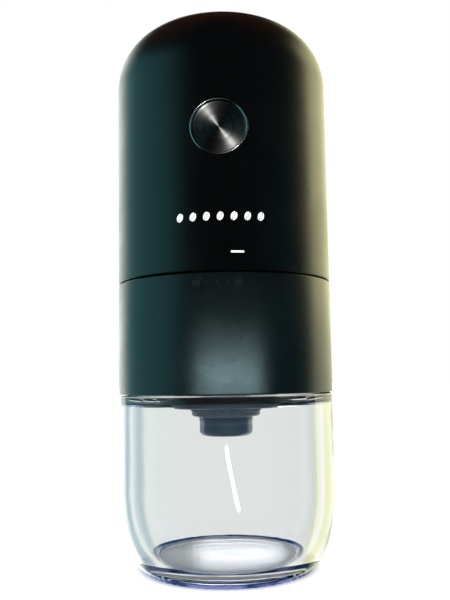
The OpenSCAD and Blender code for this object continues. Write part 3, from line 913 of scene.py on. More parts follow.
@dataclass(frozen=True)
class Winding(Finish):
    """Enamelled copper wire, wound close."""

    def dress(self, surface: Surface) -> None:
        """Draws the wires as ridges, and darkens the grooves between them as painted shade.

        Args:
            surface: the material that is built.
        """
        coil = surface.effect("coil", Pitch=0.0005)
        # Painted shade: the colour falls to 0.4 of the copper's in the grooves between the wires.
        surface.set(Base_Color=surface.blend(coil.outputs["Height"], rgba(scaled(self.colour, 0.4)),
                                             rgba(self.colour)))
        surface.set(Metallic=0.8, Coat_Weight=0.5, Coat_Roughness=0.1)
        surface.bump(coil.outputs["Height"], 0.0002)


class Finishes:
    """The finishes of this grinder, each named after its slot in the record."""

    GLASS = PressedGlass("jar_glass", (0.965, 0.98, 0.98), 0.0)
    FOOT = TintedSilicone("foot_silicone", (0.24, 0.30, 0.66), 0.35)
    FOOT_FACE = SoftSeal("foot_face", (0.72, 0.73, 0.75), 0.5)
    FOOT_TICK = SoftSeal("foot_tick", (0.20, 0.20, 0.22), 0.5)
    LABEL = PrintedFilm("label", (0.93, 0.93, 0.94), 0.45)
    SEAL = SoftSeal("seal_silicone", (0.80, 0.81, 0.81), 0.5)
    CHAMBER = Moulding("chamber_black", (0.0008, 0.0018, 0.0021), 0.28, wear=0.2, dust=0.0)
    MARKS = Moulding("mark_gloss", (0.006, 0.007, 0.008), 0.12, wear=0.0, dust=0.0, gloss=0.6)
    HOPPER = Moulding("hopper_black", (0.02, 0.021, 0.022), 0.42)
    CERAMIC = FiredCeramic("burr_ceramic", (0.84, 0.83, 0.79), 0.45)
    CORE = Moulding("core_grey", (0.075, 0.10, 0.135), 0.3, wear=0.3, dust=0.1, gloss=0.15)
    BUSH = TurnedMetal("bush_bronze", (0.60, 0.42, 0.22), 0.34)
    STEEL = TurnedMetal("steel", (0.60, 0.61, 0.62), 0.24)
    SPRING = TurnedMetal("spring_steel", (0.70, 0.70, 0.71), 0.2)
    CAP = TurnedMetal("cap_satin", (0.26, 0.30, 0.35), 0.3, pitch=0.00035, depth=0.00001)
    BRASS = TurnedMetal("brass", (0.75, 0.58, 0.28), 0.24)
    HOUSING = Moulding("housing_black", (0.0008, 0.0012, 0.0014), 0.30, wear=0.2, dust=0.0)
    PRINT = PrintedFilm("white_print", (0.85, 0.85, 0.83), 0.4)
    BEZEL = TurnedMetal("bezel_chrome", (0.62, 0.63, 0.63), 0.16, pitch=0.0001,
                        axis=TurnAxis.BUTTON, centre=0.134)
    BUTTON = TurnedMetal("button_metal", (0.30, 0.31, 0.31), 0.26, pitch=0.00012, depth=0.000003,
                         axis=TurnAxis.BUTTON, centre=0.134, stretch=0.92)
    CHASSIS = Moulding("chassis_plastic", (0.72, 0.71, 0.66), 0.45)
    SLEEVE = Moulding("cell_sleeve", (0.06, 0.28, 0.20), 0.3, gloss=0.4, wear=0.1)
    NICKEL = TurnedMetal("nickel", (0.70, 0.69, 0.66), 0.22)
    BOARD = CircuitBoard("circuit_green", (0.02, 0.18, 0.09), 0.35)
    SWITCH = Moulding("switch_black", (0.03, 0.03, 0.03), 0.4)
    GEAR = Moulding("gear_plastic", (0.83, 0.81, 0.74), 0.4, wear=0.1)
    ZINC = TurnedMetal("motor_steel", (0.66, 0.67, 0.68), 0.3)
    MAGNET = Moulding("magnet", (0.07, 0.07, 0.075), 0.55)
    COPPER = Winding("copper", (0.55, 0.22, 0.10), 0.3)
    SCREW = TurnedMetal("screw_black", (0.16, 0.16, 0.17), 0.3)


# ---------------------------------------------------------------------------------------------
# Sub-assemblies
# ---------------------------------------------------------------------------------------------


class SubAssembly:
    """Pieces of the grinder that are built and dressed together."""

    def add(self, piece: bpy.types.Object, finishes: list[Finish], *nodes: str) -> bpy.types.Object:
        """Dresses a new piece and puts it in the place of its frame nodes.

        Args:
            piece: the new piece.
            finishes: its finishes, in the order of its material indices.
            *nodes: the frame nodes that it stands for; it rides on the first one's body.

        Returns:
            The piece.
        """
        piece.data.materials.clear()
        for finish in finishes:
            piece.data.materials.append(finish.material())
        body = bpy.data.objects[nodes[0]]["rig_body"]
        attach(piece, body)
        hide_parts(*nodes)
        LOG.info("%s rides on %s in %s", piece.name, body, finishes[0].slot)
        return piece

    def repaint(self, finish: Finish, *nodes: str) -> None:
        """Gives frame nodes a finish and leaves their shape.

        Args:
            finish: the finish.
            *nodes: the frame nodes.
        """
        for node in nodes:
            mesh = bpy.data.objects[node].data
            mesh.materials.clear()
            mesh.materials.append(finish.material())
            LOG.info("%s keeps its shape in %s", node, finish.slot)

    def soften(self, finish: Finish, *nodes: str, width: float = 0.1) -> None:
        """Replaces frame nodes by copies with softened edges.

        Args:
            finish: the finish.
            *nodes: the frame nodes.
            width: width of the softened edges, in millimetres.
        """
        for node in nodes:
            copy = softened_copy(bpy.data.objects[node], node + "_piece", width)
            self.add(copy, [finish], node)


@dataclass
class Jar(SubAssembly):
    """The glass jar with its foot ring, label and gasket.

    Attributes:
        glass: reach of the glass.
        foot: reach of the foot ring.
        gasket: reach of the neck's gasket.
        label: reach of the label disc.
        wall: thickness of the glass.
        flat: radius of the flat underside.
        corner: height of the rounded corner.
        floor: level of the floor inside.
        cove: width and height of the rounded corner inside.
        shoulder: level of the shoulder under the neck.
        neck: outer radius of the neck.
        bore: inner radius of the neck.
        lead: rise of the thread in one turn.
        foot_bore: inner radius of the foot ring.
        seat_gap: gap round the foot ring, which the soft ring fills so that it wets the glass.
        ribs: number of scallops round the foot ring.
    """

    glass: Reach = from_frame("glass_jar")
    foot: Reach = from_frame("foot_ring")
    gasket: Reach = from_frame("jar_seal")
    label: Reach = from_frame("base_label")
    wall: float = 4.5
    flat: float = 26.0
    corner: float = 25.5
    floor: float = 3.4
    cove: tuple[float, float] = (8.5, 22.0)
    shoulder: float = 55.0
    neck: float = 31.0
    bore: float = 27.7
    lead: float = 12.0
    foot_bore: float = 25.3
    seat_gap: float = 0.12
    ribs: int = 60

    def build(self) -> None:
        """Builds the four pieces of the jar."""
        self.add(self.blow_glass(), [Finishes.GLASS], "glass_jar")
        self.add(self.mould_foot(), [Finishes.FOOT, Finishes.FOOT_FACE, Finishes.FOOT_TICK],
                 "foot_ring")
        self.add(self.cut_label(), [Finishes.LABEL], "base_label")
        self.add(self.cut_gasket(), [Finishes.SEAL], "jar_seal")

    def blow_glass(self) -> bpy.types.Object:
        """Turns the glass with its groove for the foot, and adds the four thread starts.

        Returns:
            The piece, in metres.
        """
        radius, base, top = self.glass
        inside = radius - self.wall
        groove = self.foot.top
        mouth = self.foot_bore - 0.1
        outer_groove = self.foot.radius + 0.1
        seat = base + 0.25
        start = math.degrees(math.acos((outer_groove - self.flat) / (radius - self.flat)))
        ellipse = self.corner / (radius - self.flat)
        lip = base + self.corner * (1 - math.sin(math.radians(start)))
        cove, rise = self.cove
        profile = (Profile(0, seat).to(mouth - 0.8, seat).to(mouth - 0.8, base, 0.1)
                   .to(mouth, base, 0.1).to(mouth, groove, 0.15).to(outer_groove, groove, 0.15)
                   .to(outer_groove, lip)
                   .around(self.flat, base + self.corner, start, 28, ellipse)
                   .to(radius, self.shoulder, 0.6).to(self.neck, self.shoulder, 0.4)
                   .to(self.neck, top, 0.7).to(self.bore, top, 0.7)
                   .to(self.bore, self.shoulder + 0.5, 1.0).to(inside, self.shoulder - 3, 1.0)
                   .to(inside, self.floor + rise)
                   .around(inside - cove, self.floor + rise, -90, 24, rise / cove)
                   .to(0, self.floor))
        jar = finish_piece(profile.turn(192), "glass_jar_piece", 40)
        starts = (Profile(self.neck - 0.5, -0.85).to(self.neck + 0.9, -0.35, 0.15)
                  .to(self.neck + 0.9, 0.35, 0.15).to(self.neck - 0.5, 0.85).close())
        ridge = starts.sweep(64, 24, self.lead * 64 / 360)
        place(ridge, Matrix.Translation((0, 0, self.shoulder + 5)))
        combine(jar, finish_piece(around_axis(ridge, 4), "starts"), "UNION", 40)
        return jar

    def mould_foot(self) -> bpy.types.Object:
        """Turns the foot ring, with a scalloped edge below and dark ticks on its inner top face.

        Returns:
            The piece, in metres.
        """
        radius, base, top = self.foot
        bore, wetted = self.foot_bore - self.seat_gap, radius + self.seat_gap
        top += self.seat_gap / 4
        tick_edge = bore + 0.45 * (wetted - bore)
        plain, ticked, tick_pitch = 1, 2, 3
        facets = self.ribs * 6
        profile = (Profile(bore, base + 0.2).to(bore + 0.2, base)
                   .to(radius - 0.3, base).to(radius, base + 0.25).to(radius, base + 0.5)
                   .to(radius, base + 0.85).to(wetted, base + 0.95).to(wetted, top)
                   .to(tick_edge, top).to(bore + 0.2, top).to(bore, top - 0.05).close())
        bm = profile.turn(facets)
        knurl(bm, self.ribs, 0.35, base, base + 0.6, radius - 1)
        for face in bm.faces:
            middle = face.calc_center_median()
            if middle.z > top - 0.1 and middle.xy.length < tick_edge:
                step = int(math.atan2(middle.y, middle.x) % math.tau / math.tau * facets)
                face.material_index = ticked if step % tick_pitch == 0 else plain
        return finish_piece(bm, "foot_ring_piece")

    def cut_label(self) -> bpy.types.Object:
        """Turns the label disc with a soft rim and a shallow printed step.

        Returns:
            The piece, in metres.
        """
        radius, base, top = self.label
        top -= self.seat_gap / 4
        profile = (Profile(0, base).to(radius - 0.05, base).to(radius, base + 0.05)
                   .to(radius, top - 0.06).to(radius - 0.06, top - 0.02)
                   .to(radius - 1.2, top - 0.02).to(radius - 1.3, top).to(0, top))
        return finish_piece(profile.turn(128), "base_label_piece", 20)

    def cut_gasket(self) -> bpy.types.Object:
        """Turns the gasket, a ring with rounded corners.

        Returns:
            The piece, in metres.
        """
        radius, base, top = self.gasket
        bore = self.neck - 3.2
        profile = (Profile(bore, base).to(radius, base, 0.25).to(radius, top, 0.25)
                   .to(bore, top, 0.25).close(0.25))
        return finish_piece(profile.turn(128), "jar_seal_piece")


@dataclass
class BeanSection(SubAssembly):
    """The bean chamber between the two seams, with its funnel, rim and screwed collar.

    Attributes:
        shell: reach of the outer shell.
        collar: reach of the threaded collar.
        sleeve: reach of the burr housing.
        funnel: reach of the funnel with its plate.
        rim: reach of the rim.
        retainer: reach of the burr retainer.
        shell_wall: thickness of the shell.
        edge: rounding of the shell's two edges.
        collar_bore: inner radius of the threaded collar.
        sleeve_bore: inner radius of the burr housing.
        bin_bore: inner radius of the bean bin.
        rim_bore: inner radius of the rim.
        ledge: level of the ledge for the gasket.
        lead: rise of the thread in one turn.
        twist: angle in degrees from the closed lock to the open one.
    """

    shell: Reach = from_frame("chamber_shell")
    collar: Reach = from_frame("thread_collar")
    sleeve: Reach = from_frame("burr_housing")
    funnel: Reach = from_frame("bean_funnel")
    rim: Reach = from_frame("bin_rim")
    retainer: Reach = from_frame("burr_retainer")
    shell_wall: float = 1.6
    edge: float = 0.4
    collar_bore: float = 32.3
    sleeve_bore: float = 16.3
    bin_bore: float = 29.8
    rim_bore: float = 31.5
    ledge: float = 84.0
    lead: float = 12.0
    twist: float = 20.0

    def build(self) -> None:
        """Builds the pieces of the bean section."""
        self.add(self.turn_shell(), [Finishes.CHAMBER], "chamber_shell")
        self.add(self.cut_collar(), [Finishes.HOPPER], "thread_collar")
        self.add(self.turn_sleeve(), [Finishes.HOPPER], "burr_housing")
        self.add(self.turn_funnel(), [Finishes.HOPPER], "bean_funnel")
        self.add(self.turn_rim(), [Finishes.HOPPER], "bin_rim")
        self.add(self.turn_retainer(), [Finishes.CORE], "burr_retainer")
        self.soften(Finishes.HOPPER, "spindle_bridge", width=0.25)
        self.soften(Finishes.CERAMIC, "outer_burr")
        self.repaint(Finishes.MARKS, "lock_marks")
        self.repaint(Finishes.BUSH, "bridge_bush")

    def turn_shell(self) -> bpy.types.Object:
        """Turns the outer shell with rounded edges at both seams.

        Returns:
            The piece, in metres.
        """
        radius, base, top = self.shell
        inside = radius - self.shell_wall
        profile = (Profile(inside, base).to(radius, base, self.edge).to(radius, top, self.edge)
                   .to(inside, top, 0.2).close())
        return finish_piece(profile.turn(192), "chamber_shell_piece", 50)

    def cut_collar(self) -> bpy.types.Object:
        """Turns the collar and adds its four thread lugs.

        Returns:
            The piece, in metres.
        """
        radius, base, top = self.collar
        bore = self.collar_bore
        profile = (Profile(bore, base).to(radius, base, 0.2).to(radius, top).to(bore, top).close())
        collar = finish_piece(profile.turn(128), "thread_collar_piece")
        lug = (Profile(bore + 0.4, -0.85).to(bore + 0.4, 0.85).to(bore - 0.9, 0.3)
               .to(bore - 0.9, -0.3).close().sweep(30, 12, self.lead * 30 / 360))
        place(lug, Matrix.Translation((0, 0, base - 0.5 + 5 - self.lead / 8)))
        combine(collar, finish_piece(around_axis(lug, 4), "lugs"), "UNION")
        return collar

    def turn_sleeve(self) -> bpy.types.Object:
        """Turns the sleeve round the fixed burr.

        Returns:
            The piece, in metres.
        """
        radius, base, top = self.sleeve
        profile = (Profile(self.sleeve_bore, base).to(radius, base, 0.4).to(radius, top)
                   .to(self.sleeve_bore, top).close(0.2))
        return finish_piece(profile.turn(128), "burr_housing_piece")

    def turn_funnel(self) -> bpy.types.Object:
        """Turns the plate over the jar and the funnel that feeds the burrs.

        Returns:
            The piece, in metres.
        """
        radius, base, top = self.funnel
        throat = base + 2.8
        profile = (Profile(self.sleeve_bore, base).to(radius, base).to(radius, base + 1.8, 0.2)
                   .to(19.5, base + 1.8, 0.3).to(19.5, throat + 0.3, 0.3)
                   .to(self.bin_bore + 1.6, top - 1, 0.4).to(self.bin_bore + 1.6, top)
                   .to(self.bin_bore - 1.4, top, 0.4).to(16.6, throat, 0.8)
                   .to(14.8, throat - 0.3, 0.15).to(14.8, base + 1.1, 0.15)
                   .to(self.sleeve_bore, base + 1.1).close())
        return finish_piece(profile.turn(160), "bean_funnel_piece")

    def turn_rim(self) -> bpy.types.Object:
        """Turns the wall of the bin and its rim, and cuts the three lock slots.

        Returns:
            The piece, in metres.
        """
        radius, base, top = self.rim
        waist = self.bin_bore + 1.6
        profile = (Profile(self.bin_bore, base).to(waist, base).to(waist, self.ledge - 1.4, 0.3)
                   .to(radius, self.ledge - 1.4, 0.3).to(radius, top, 0.3)
                   .to(self.rim_bore, top, 0.3).to(self.rim_bore, self.ledge)
                   .to(self.bin_bore, self.ledge, 0.3).close())
        rim = finish_piece(profile.turn(160), "bin_rim_piece")
        floor = self.ledge + 1.6
        slot = (Profile(self.rim_bore - 0.5, floor).to(self.rim_bore + 0.85, floor)
                .to(self.rim_bore + 0.85, top + 1).to(self.rim_bore - 0.5, top + 1).close()
                .sweep(self.twist + 16, 18))
        slots = around_axis(slot, 3, 30 - self.twist / 2)
        combine(rim, finish_piece(slots, "slots"))
        return rim

    def turn_retainer(self) -> bpy.types.Object:
        """Turns the ring that holds the fixed burr, the widest tier that hangs in the jar.

        Returns:
            The piece, in metres.
        """
        radius, base, top = self.retainer
        step = top - 2.2
        bore = 14.4
        profile = (Profile(self.sleeve_bore - 0.1, top).to(self.sleeve_bore - 0.1, step)
                   .to(radius, step, 0.3).to(radius, base + 3.4, 0.15)
                   .to(radius - 0.12, base + 3.2, 0.1).to(radius, base + 3.0, 0.15)
                   .to(radius, base + 0.9, 0.5).to(radius - 1.9, base, 0.5)
                   .to(bore + 0.3, base, 0.2).to(bore, base + 0.4, 0.1).to(bore, top, 0.2)
                   .close())
        return finish_piece(profile.turn(128), "burr_retainer_piece")


@dataclass
class BurrSet(SubAssembly):
    """The spindle with the cone burr and the grind adjuster.

    Attributes:
        carrier: reach of the burr carrier.
        dial: reach of the dial.
        cap: reach of the cap.
        spindle: reach of the spindle.
        cone: reach of the cone burr.
        bore: running bore on the spindle.
        nut: radius of the nut in the dial and cap.
        shaft: radius of the spindle.
        hub_top: level of the top of the bridge's hub, just under the spindle's collar.
        key_bottom: level where the spindle's key starts.
        knurls: number of flutes on the dial.
    """

    carrier: Reach = from_frame("burr_carrier")
    dial: Reach = from_frame("adjuster_dial")
    cap: Reach = from_frame("adjuster_cap")
    spindle: Reach = from_frame("spindle")
    cone: Reach = from_frame("inner_burr")
    bore: float = 3.05
    nut: float = 5.05
    shaft: float = 3.0
    hub_top: float = 84.1
    key_bottom: float = 92.0
    knurls: int = 48

    def build(self) -> None:
        """Builds the pieces that turn with the spindle."""
        self.add(self.turn_spindle(), [Finishes.STEEL], "spindle")
        self.add(self.turn_carrier(), [Finishes.CORE], "burr_carrier")
        self.add(self.turn_dial(), [Finishes.CORE], "adjuster_dial")
        self.add(self.turn_cap(), [Finishes.CAP], "adjuster_cap")
        self.soften(Finishes.CERAMIC, "inner_burr")
        self.soften(Finishes.STEEL, "spindle_key", width=0.15)
        self.repaint(Finishes.SPRING, "spindle_clip", "burr_spring")
        self.repaint(Finishes.BRASS, "adjuster_nut")

    def turn_spindle(self) -> bpy.types.Object:
        """Turns the spindle with its two collars.

        Returns:
            The piece, in metres.
        """
        _, base, top = self.spindle
        profile = (Profile(0, base).to(self.shaft, base, 0.3).to(self.shaft, self.hub_top + 0.3)
                   .to(4.2, self.hub_top + 0.3, 0.15).to(4.2, self.hub_top + 2.1, 0.15)
                   .to(3.6, self.hub_top + 2.1).to(3.6, self.key_bottom, 0.15)
                   .to(self.shaft, self.key_bottom).to(self.shaft, top, 0.5).to(0, top))
        return finish_piece(profile.turn(64), "spindle_piece")

    def turn_carrier(self) -> bpy.types.Object:
        """Turns the flange under the cone burr and the hub inside it.

        Returns:
            The piece, in metres.
        """
        radius, base, top = self.carrier
        flange = self.cone.bottom - 0.05
        hub = self.shaft + 0.85
        profile = (Profile(self.bore, base).to(12.4, base, 0.2).to(radius, base + 0.7, 0.3)
                   .to(radius, flange, 0.2).to(hub, flange).to(hub, top, 0.1)
                   .to(self.bore, top).close())
        return finish_piece(profile.turn(96), "burr_carrier_piece")

    def turn_dial(self) -> bpy.types.Object:
        """Turns the dial and presses the flutes into its upper edge.

        Returns:
            The piece, in metres.
        """
        radius, base, top = self.dial
        skirt = radius - 0.4
        knurl_bottom = top - 0.9
        profile = (Profile(self.nut, base).to(skirt - 0.5, base, 0.2).to(skirt, base + 0.5, 0.2)
                   .to(skirt, knurl_bottom - 0.15).to(radius - 0.1, knurl_bottom)
                   .to(radius, knurl_bottom + 0.12).to(radius, top - 0.12).to(radius - 0.12, top)
                   .to(self.nut, top).close())
        bm = profile.turn(self.knurls * 6)
        knurl(bm, self.knurls, 0.42, knurl_bottom - 0.05, top + 0.1, skirt)
        return finish_piece(bm, "adjuster_dial_piece")

    def turn_cap(self) -> bpy.types.Object:
        """Turns the hollow cap with its rounded foot and two fine grooves.

        Returns:
            The piece, in metres.
        """
        radius, base, top = self.cap
        foot = radius - 1.9
        groove = top - 1.7
        profile = (Profile(0, base).to(foot, base).around(foot, base + 1.7, 90, 8)
                   .to(radius - 0.25, base + 4.2).to(radius - 0.12, groove, 0.08)
                   .to(radius - 0.3, groove + 0.12, 0.05).to(radius - 0.1, groove + 0.24, 0.08)
                   .to(radius - 0.05, groove + 0.75, 0.08).to(radius - 0.24, groove + 0.87, 0.05)
                   .to(radius - 0.04, groove + 1.0, 0.08).to(radius, top, 0.1).to(self.nut, top)
                   .to(self.nut, top - 1.5).to(7.2, top - 1.5).to(7.2, base + 1.2)
                   .to(0, base + 1.2))
        return finish_piece(profile.turn(128), "adjuster_cap_piece")


@dataclass
class PowerButton(SubAssembly):
    """The round button and its trim ring.

    Attributes:
        height: level of the button's axis.
        ring_bore: inner radius of the trim ring.
        ring_radius: outer radius of the trim ring.
        ring_back: distance of the ring's back from the grinder's axis.
        ring_front: distance of the ring's front from the grinder's axis.
        cap_radius: radius of the button's cap.
        cap_back: distance of the cap's back from the grinder's axis.
        cap_rim: distance of the cap's rim from the grinder's axis.
        dish: how much deeper the middle of the cap lies than its rim.
    """

    height: float = 134.0
    ring_bore: float = 8.0
    ring_radius: float = 8.65
    ring_back: float = 30.5
    ring_front: float = 34.7
    cap_radius: float = 7.85
    cap_back: float = 31.6
    cap_rim: float = 34.25
    dish: float = 0.15

    def build(self) -> None:
        """Builds the ring, the cap and what lies behind them."""
        self.add(self.turn_ring(), [Finishes.BEZEL], "button_bezel")
        self.add(self.turn_cap(), [Finishes.BUTTON], "button_cap")
        self.repaint(Finishes.SWITCH, "button_stem")

    def face_front(self, bm: bmesh.types.BMesh) -> bmesh.types.BMesh:
        """Turns a mesh that points up so that it points out of the front, at the button's level."""
        turn = Matrix.Rotation(math.pi / 2, 4, "X")
        return place(bm, Matrix.Translation((0, 0, self.height)) @ turn)

    def turn_ring(self) -> bpy.types.Object:
        """Turns the trim ring with a rounded front.

        Returns:
            The piece, in metres.
        """
        front = self.ring_front
        profile = (Profile(self.ring_bore, self.ring_back).to(self.ring_radius, self.ring_back)
                   .to(self.ring_radius, front, 0.22).to(self.ring_bore, front, 0.3).close())
        return finish_piece(self.face_front(profile.turn(128)), "button_bezel_piece", 40)

    def turn_cap(self) -> bpy.types.Object:
        """Turns the hollow cap with its dished face.

        Returns:
            The piece, in metres.
        """
        rim = self.cap_rim
        sphere = (self.cap_radius ** 2 + self.dish ** 2) / (2 * self.dish)
        arc = math.degrees(math.asin((self.cap_radius - 0.25) / sphere))
        profile = (Profile(0, self.cap_back + 1.1).to(6.6, self.cap_back + 1.1)
                   .to(6.6, self.cap_back, 0.1).to(self.cap_radius, self.cap_back, 0.1)
                   .to(self.cap_radius, rim - 0.12).to(self.cap_radius - 0.1, rim - 0.02)
                   .to(self.cap_radius - 0.25, rim - 0.01)
                   .around(0, rim - self.dish + sphere, -arc, 12))
        profile.tip.co.x = 0
        return finish_piece(self.face_front(profile.turn(128)), "button_cap_piece", 30)


@dataclass
class DriveUnit(SubAssembly):
    """The domed housing with its base, spigot and gasket.

    Attributes:
        shell: reach of the housing.
        base: reach of the base plate.
        spigot: reach of the spigot's lugs.
        gasket: reach of the gasket.
        dome: level where the dome leaves the straight wall.
        shoulder: radius of the dome's shoulder.
        wall: thickness of the housing.
        spigot_radius: outer radius of the spigot, without its lugs.
        spigot_bore: inner radius of the spigot.
        button: the button that the housing has a hole for.
        port_level: level of the charging port's centre.
        port_half: half the distance between the port's two round ends.
        port_radius: radius of the port's round ends.
    """

    button: PowerButton
    shell: Reach = from_frame("drive_housing")
    base: Reach = from_frame("drive_base")
    spigot: Reach = from_frame("bayonet_ring")
    gasket: Reach = from_frame("drive_seal")
    dome: float = 157.0
    shoulder: float = 20.0
    wall: float = 2.4
    spigot_radius: float = 31.1
    spigot_bore: float = 28.6
    port_level: float = 102.6
    port_half: float = 2.84
    port_radius: float = 1.78

    def build(self) -> None:
        """Builds the outside of the drive unit."""
        self.add(self.mould_housing(), [Finishes.HOUSING], "drive_housing")
        self.add(self.mould_base(), [Finishes.HOPPER], "drive_base")
        self.add(self.mould_spigot(), [Finishes.HOPPER], "bayonet_ring")
        self.add(self.cut_gasket(), [Finishes.SEAL], "drive_seal")
        self.soften(Finishes.SCREW, "base_screws", width=0.08)
        self.soften(Finishes.STEEL, "charge_socket", width=0.08)
        self.repaint(Finishes.PRINT, "printed_marks")

    def crown(self) -> tuple[float, float]:
        """Works out the flat arc that crowns the dome, tangent to its shoulder.

        Returns:
            The crown's radius, and the angle in degrees where the shoulder meets it.
        """
        rise = self.shell.top - self.dome
        inset = self.shell.radius - self.shoulder
        radius = (inset ** 2 + rise ** 2 - self.shoulder ** 2) / (2 * (rise - self.shoulder))
        meet = math.degrees(math.atan2(self.dome - (self.shell.top - radius), inset))
        return radius, meet

    def mould_housing(self) -> bpy.types.Object:
        """Turns the housing, and cuts the button's hole and the port.

        Returns:
            The piece, in metres.
        """
        radius, base, top = self.shell
        crown, meet = self.crown()
        centre = radius - self.shoulder
        inside = radius - self.wall
        profile = Profile(inside, base).to(radius, base, 0.42)
        rings = 40
        for ring in range(1, rings):
            profile.to(radius, base + 2 + (self.dome - base - 2) * ring / rings)
        (profile.to(radius, self.dome).around(centre, self.dome, meet, 24)
         .around(0, top - crown, 90 - meet, 20))
        profile.tip.co.x = 0
        (profile.to(0, top - self.wall).around(0, top - crown, meet - 90, 10)
         .around(centre, self.dome, -meet, 12).close())
        housing = finish_piece(profile.turn(192), "drive_housing_piece", 50)
        hole = bmesh.new()
        bmesh.ops.create_cone(hole, cap_ends=True, segments=96, depth=20,
                              radius1=self.button.ring_radius + 0.05,
                              radius2=self.button.ring_radius + 0.05)
        place(hole, Matrix.Translation((0, 0, self.button.ring_front - 2)))
        combine(housing, finish_piece(self.button.face_front(hole), "hole"), crease=50)
        combine(housing, finish_piece(self.port(), "port"), crease=50)
        self.true_normals(housing)
        return housing

    def port(self) -> bmesh.types.BMesh:
        """The stadium-shaped tool that cuts the charging port at the back.

        Returns:
            The tool, in millimetres.
        """
        tool = bmesh.new()
        bmesh.ops.create_cube(tool, size=1)
        wide = 2 * (self.port_half + self.port_radius)
        bmesh.ops.scale(tool, vec=(wide, 12, 2 * self.port_radius), verts=tool.verts[:])
        long_edges = [edge for edge in tool.edges
                      if abs(edge.verts[0].co.y - edge.verts[1].co.y) > 1]
        bmesh.ops.bevel(tool, geom=long_edges, offset=self.port_radius * 0.999, segments=10,
                        profile=0.5, affect="EDGES", material=-1)
        return place(tool, Matrix.Translation((0, self.shell.radius, self.port_level)))

    def true_normals(self, housing: bpy.types.Object) -> None:
        """Keeps the straight wall's shading round the two cuts.

        Args:
            housing: the housing after its cuts.
        """
        mesh = housing.data
        normals = [corner.vector.copy() for corner in mesh.corner_normals]
        radius = self.shell.radius * MM
        for polygon in mesh.polygons:
            for index in polygon.loop_indices:
                spot = mesh.vertices[mesh.loops[index].vertex_index].co
                outwards = Vector((spot.x, spot.y, 0)).normalized()
                on_wall = spot.xy.length > radius * 0.9995 and spot.z < self.dome * MM
                if on_wall and polygon.normal.dot(outwards) > 0.995:
                    normals[index] = outwards
        mesh.normals_split_custom_set(normals)

    def mould_base(self) -> bpy.types.Object:
        """Turns the base plate with its boss, and sinks the four screw holes.

        Returns:
            The piece, in metres.
        """
        radius, base, top = self.base
        plate = base + 3.2
        underside = plate - 2
        profile = (Profile(self.spigot_radius + 0.02, base).to(radius, base, 0.2)
                   .to(radius, plate, 0.2).to(9.3, plate, 0.4).to(9.3, top, 0.3).to(8, top, 0.3)
                   .to(8, underside, 0.3).to(self.spigot_radius + 0.02, underside).close())
        plate_piece = finish_piece(profile.turn(160), "drive_base_piece")
        sink = (Profile(0, underside - 1).to(2.7, underside - 1).to(2.7, plate - 1.2)
                .to(1.5, plate - 1.2).to(1.5, plate + 1).to(0, plate + 1).turn(32))
        place(sink, Matrix.Translation((24.5, 0, 0)))
        combine(plate_piece, finish_piece(around_axis(sink, 4, 45), "sinks"))
        return plate_piece

    def mould_spigot(self) -> bpy.types.Object:
        """Turns the spigot and adds the three lugs of the twist lock.

        Returns:
            The piece, in metres.
        """
        _, base, top = self.spigot
        profile = (Profile(self.spigot_bore, base).to(self.spigot_radius, base, 0.4)
                   .to(self.spigot_radius, top).to(self.spigot_bore, top).close(0.4))
        spigot = finish_piece(profile.turn(160), "bayonet_ring_piece")
        lug = (Profile(self.spigot_radius - 1, base + 1.2).to(self.spigot.radius, base + 1.2, 0.2)
               .to(self.spigot.radius, base + 3.2, 0.2).to(self.spigot_radius - 1, base + 3.2)
               .close())
        lugs = around_axis(lug.sweep(12, 8), 3, 30)
        combine(spigot, finish_piece(lugs, "lugs"), "UNION")
        return spigot

    def cut_gasket(self) -> bpy.types.Object:
        """Turns the gasket that the drive unit sits on.

        Returns:
            The piece, in metres.
        """
        radius, base, top = self.gasket
        bore = 29.9
        profile = (Profile(bore, base).to(radius, base, 0.2).to(radius, top, 0.3)
                   .to(bore, top, 0.3).close())
        return finish_piece(profile.turn(128), "drive_seal_piece")


class Insides(SubAssembly):
    """What the drive unit holds: motor, gears, cells and boards, which keep their frame shapes."""

    DRESSED = {
        Finishes.CHASSIS: ["chassis", "top_clamp"],
        Finishes.SLEEVE: ["battery_cells"],
        Finishes.NICKEL: ["battery_tabs"],
        Finishes.BOARD: ["main_board", "charge_board"],
        Finishes.SWITCH: ["tact_switch"],
        Finishes.STEEL: ["small_screws", "motor_shaft", "planet_carrier"],
        Finishes.GEAR: ["gearbox_case", "gearbox_cover", "motor_end_bell", "planet_gear_1",
                        "planet_gear_2", "planet_gear_3"],
        Finishes.BUSH: ["output_bush"],
        Finishes.SEAL: ["dust_seal"],
        Finishes.ZINC: ["motor_plate", "motor_can"],
        Finishes.SCREW: ["motor_screws"],
        Finishes.MAGNET: ["motor_magnets"],
        Finishes.BRASS: ["motor_terminals", "commutator", "sun_pinion"],
        Finishes.COPPER: ["armature"],
    }

    def build(self) -> None:
        """Dresses every inner node and softens the drive dog, which shows when lifted."""
        for finish, nodes in self.DRESSED.items():
            self.repaint(finish, *nodes)
        self.soften(Finishes.SWITCH, "drive_dog", width=0.15)


# ---------------------------------------------------------------------------------------------
# Studio
# ---------------------------------------------------------------------------------------------


@dataclass(frozen=True)
class Panel:
    """A soft-edged panel of the studio that stands round the grinder.

    Attributes:
        colour: its light, as a colour that may be brighter than white.
        bearing: angle of its middle in degrees, 0 in front and positive to the right.
        width: its width in degrees.
        feather: width of its soft edges in degrees.
        low: its lowest elevation in degrees.
        high: its highest elevation in degrees.
    """

    colour: Colour
    bearing: float
    width: float
    feather: float
    low: float = -90.0
    high: float = 90.0


@dataclass(frozen=True)
class Backdrop:
    """What one kind of ray meets beyond the grinder.

    Attributes:
        base: the light between the panels.
        panels: the panels, each laid over the ones before it.
    """

    base: Colour
    panels: tuple[Panel, ...]


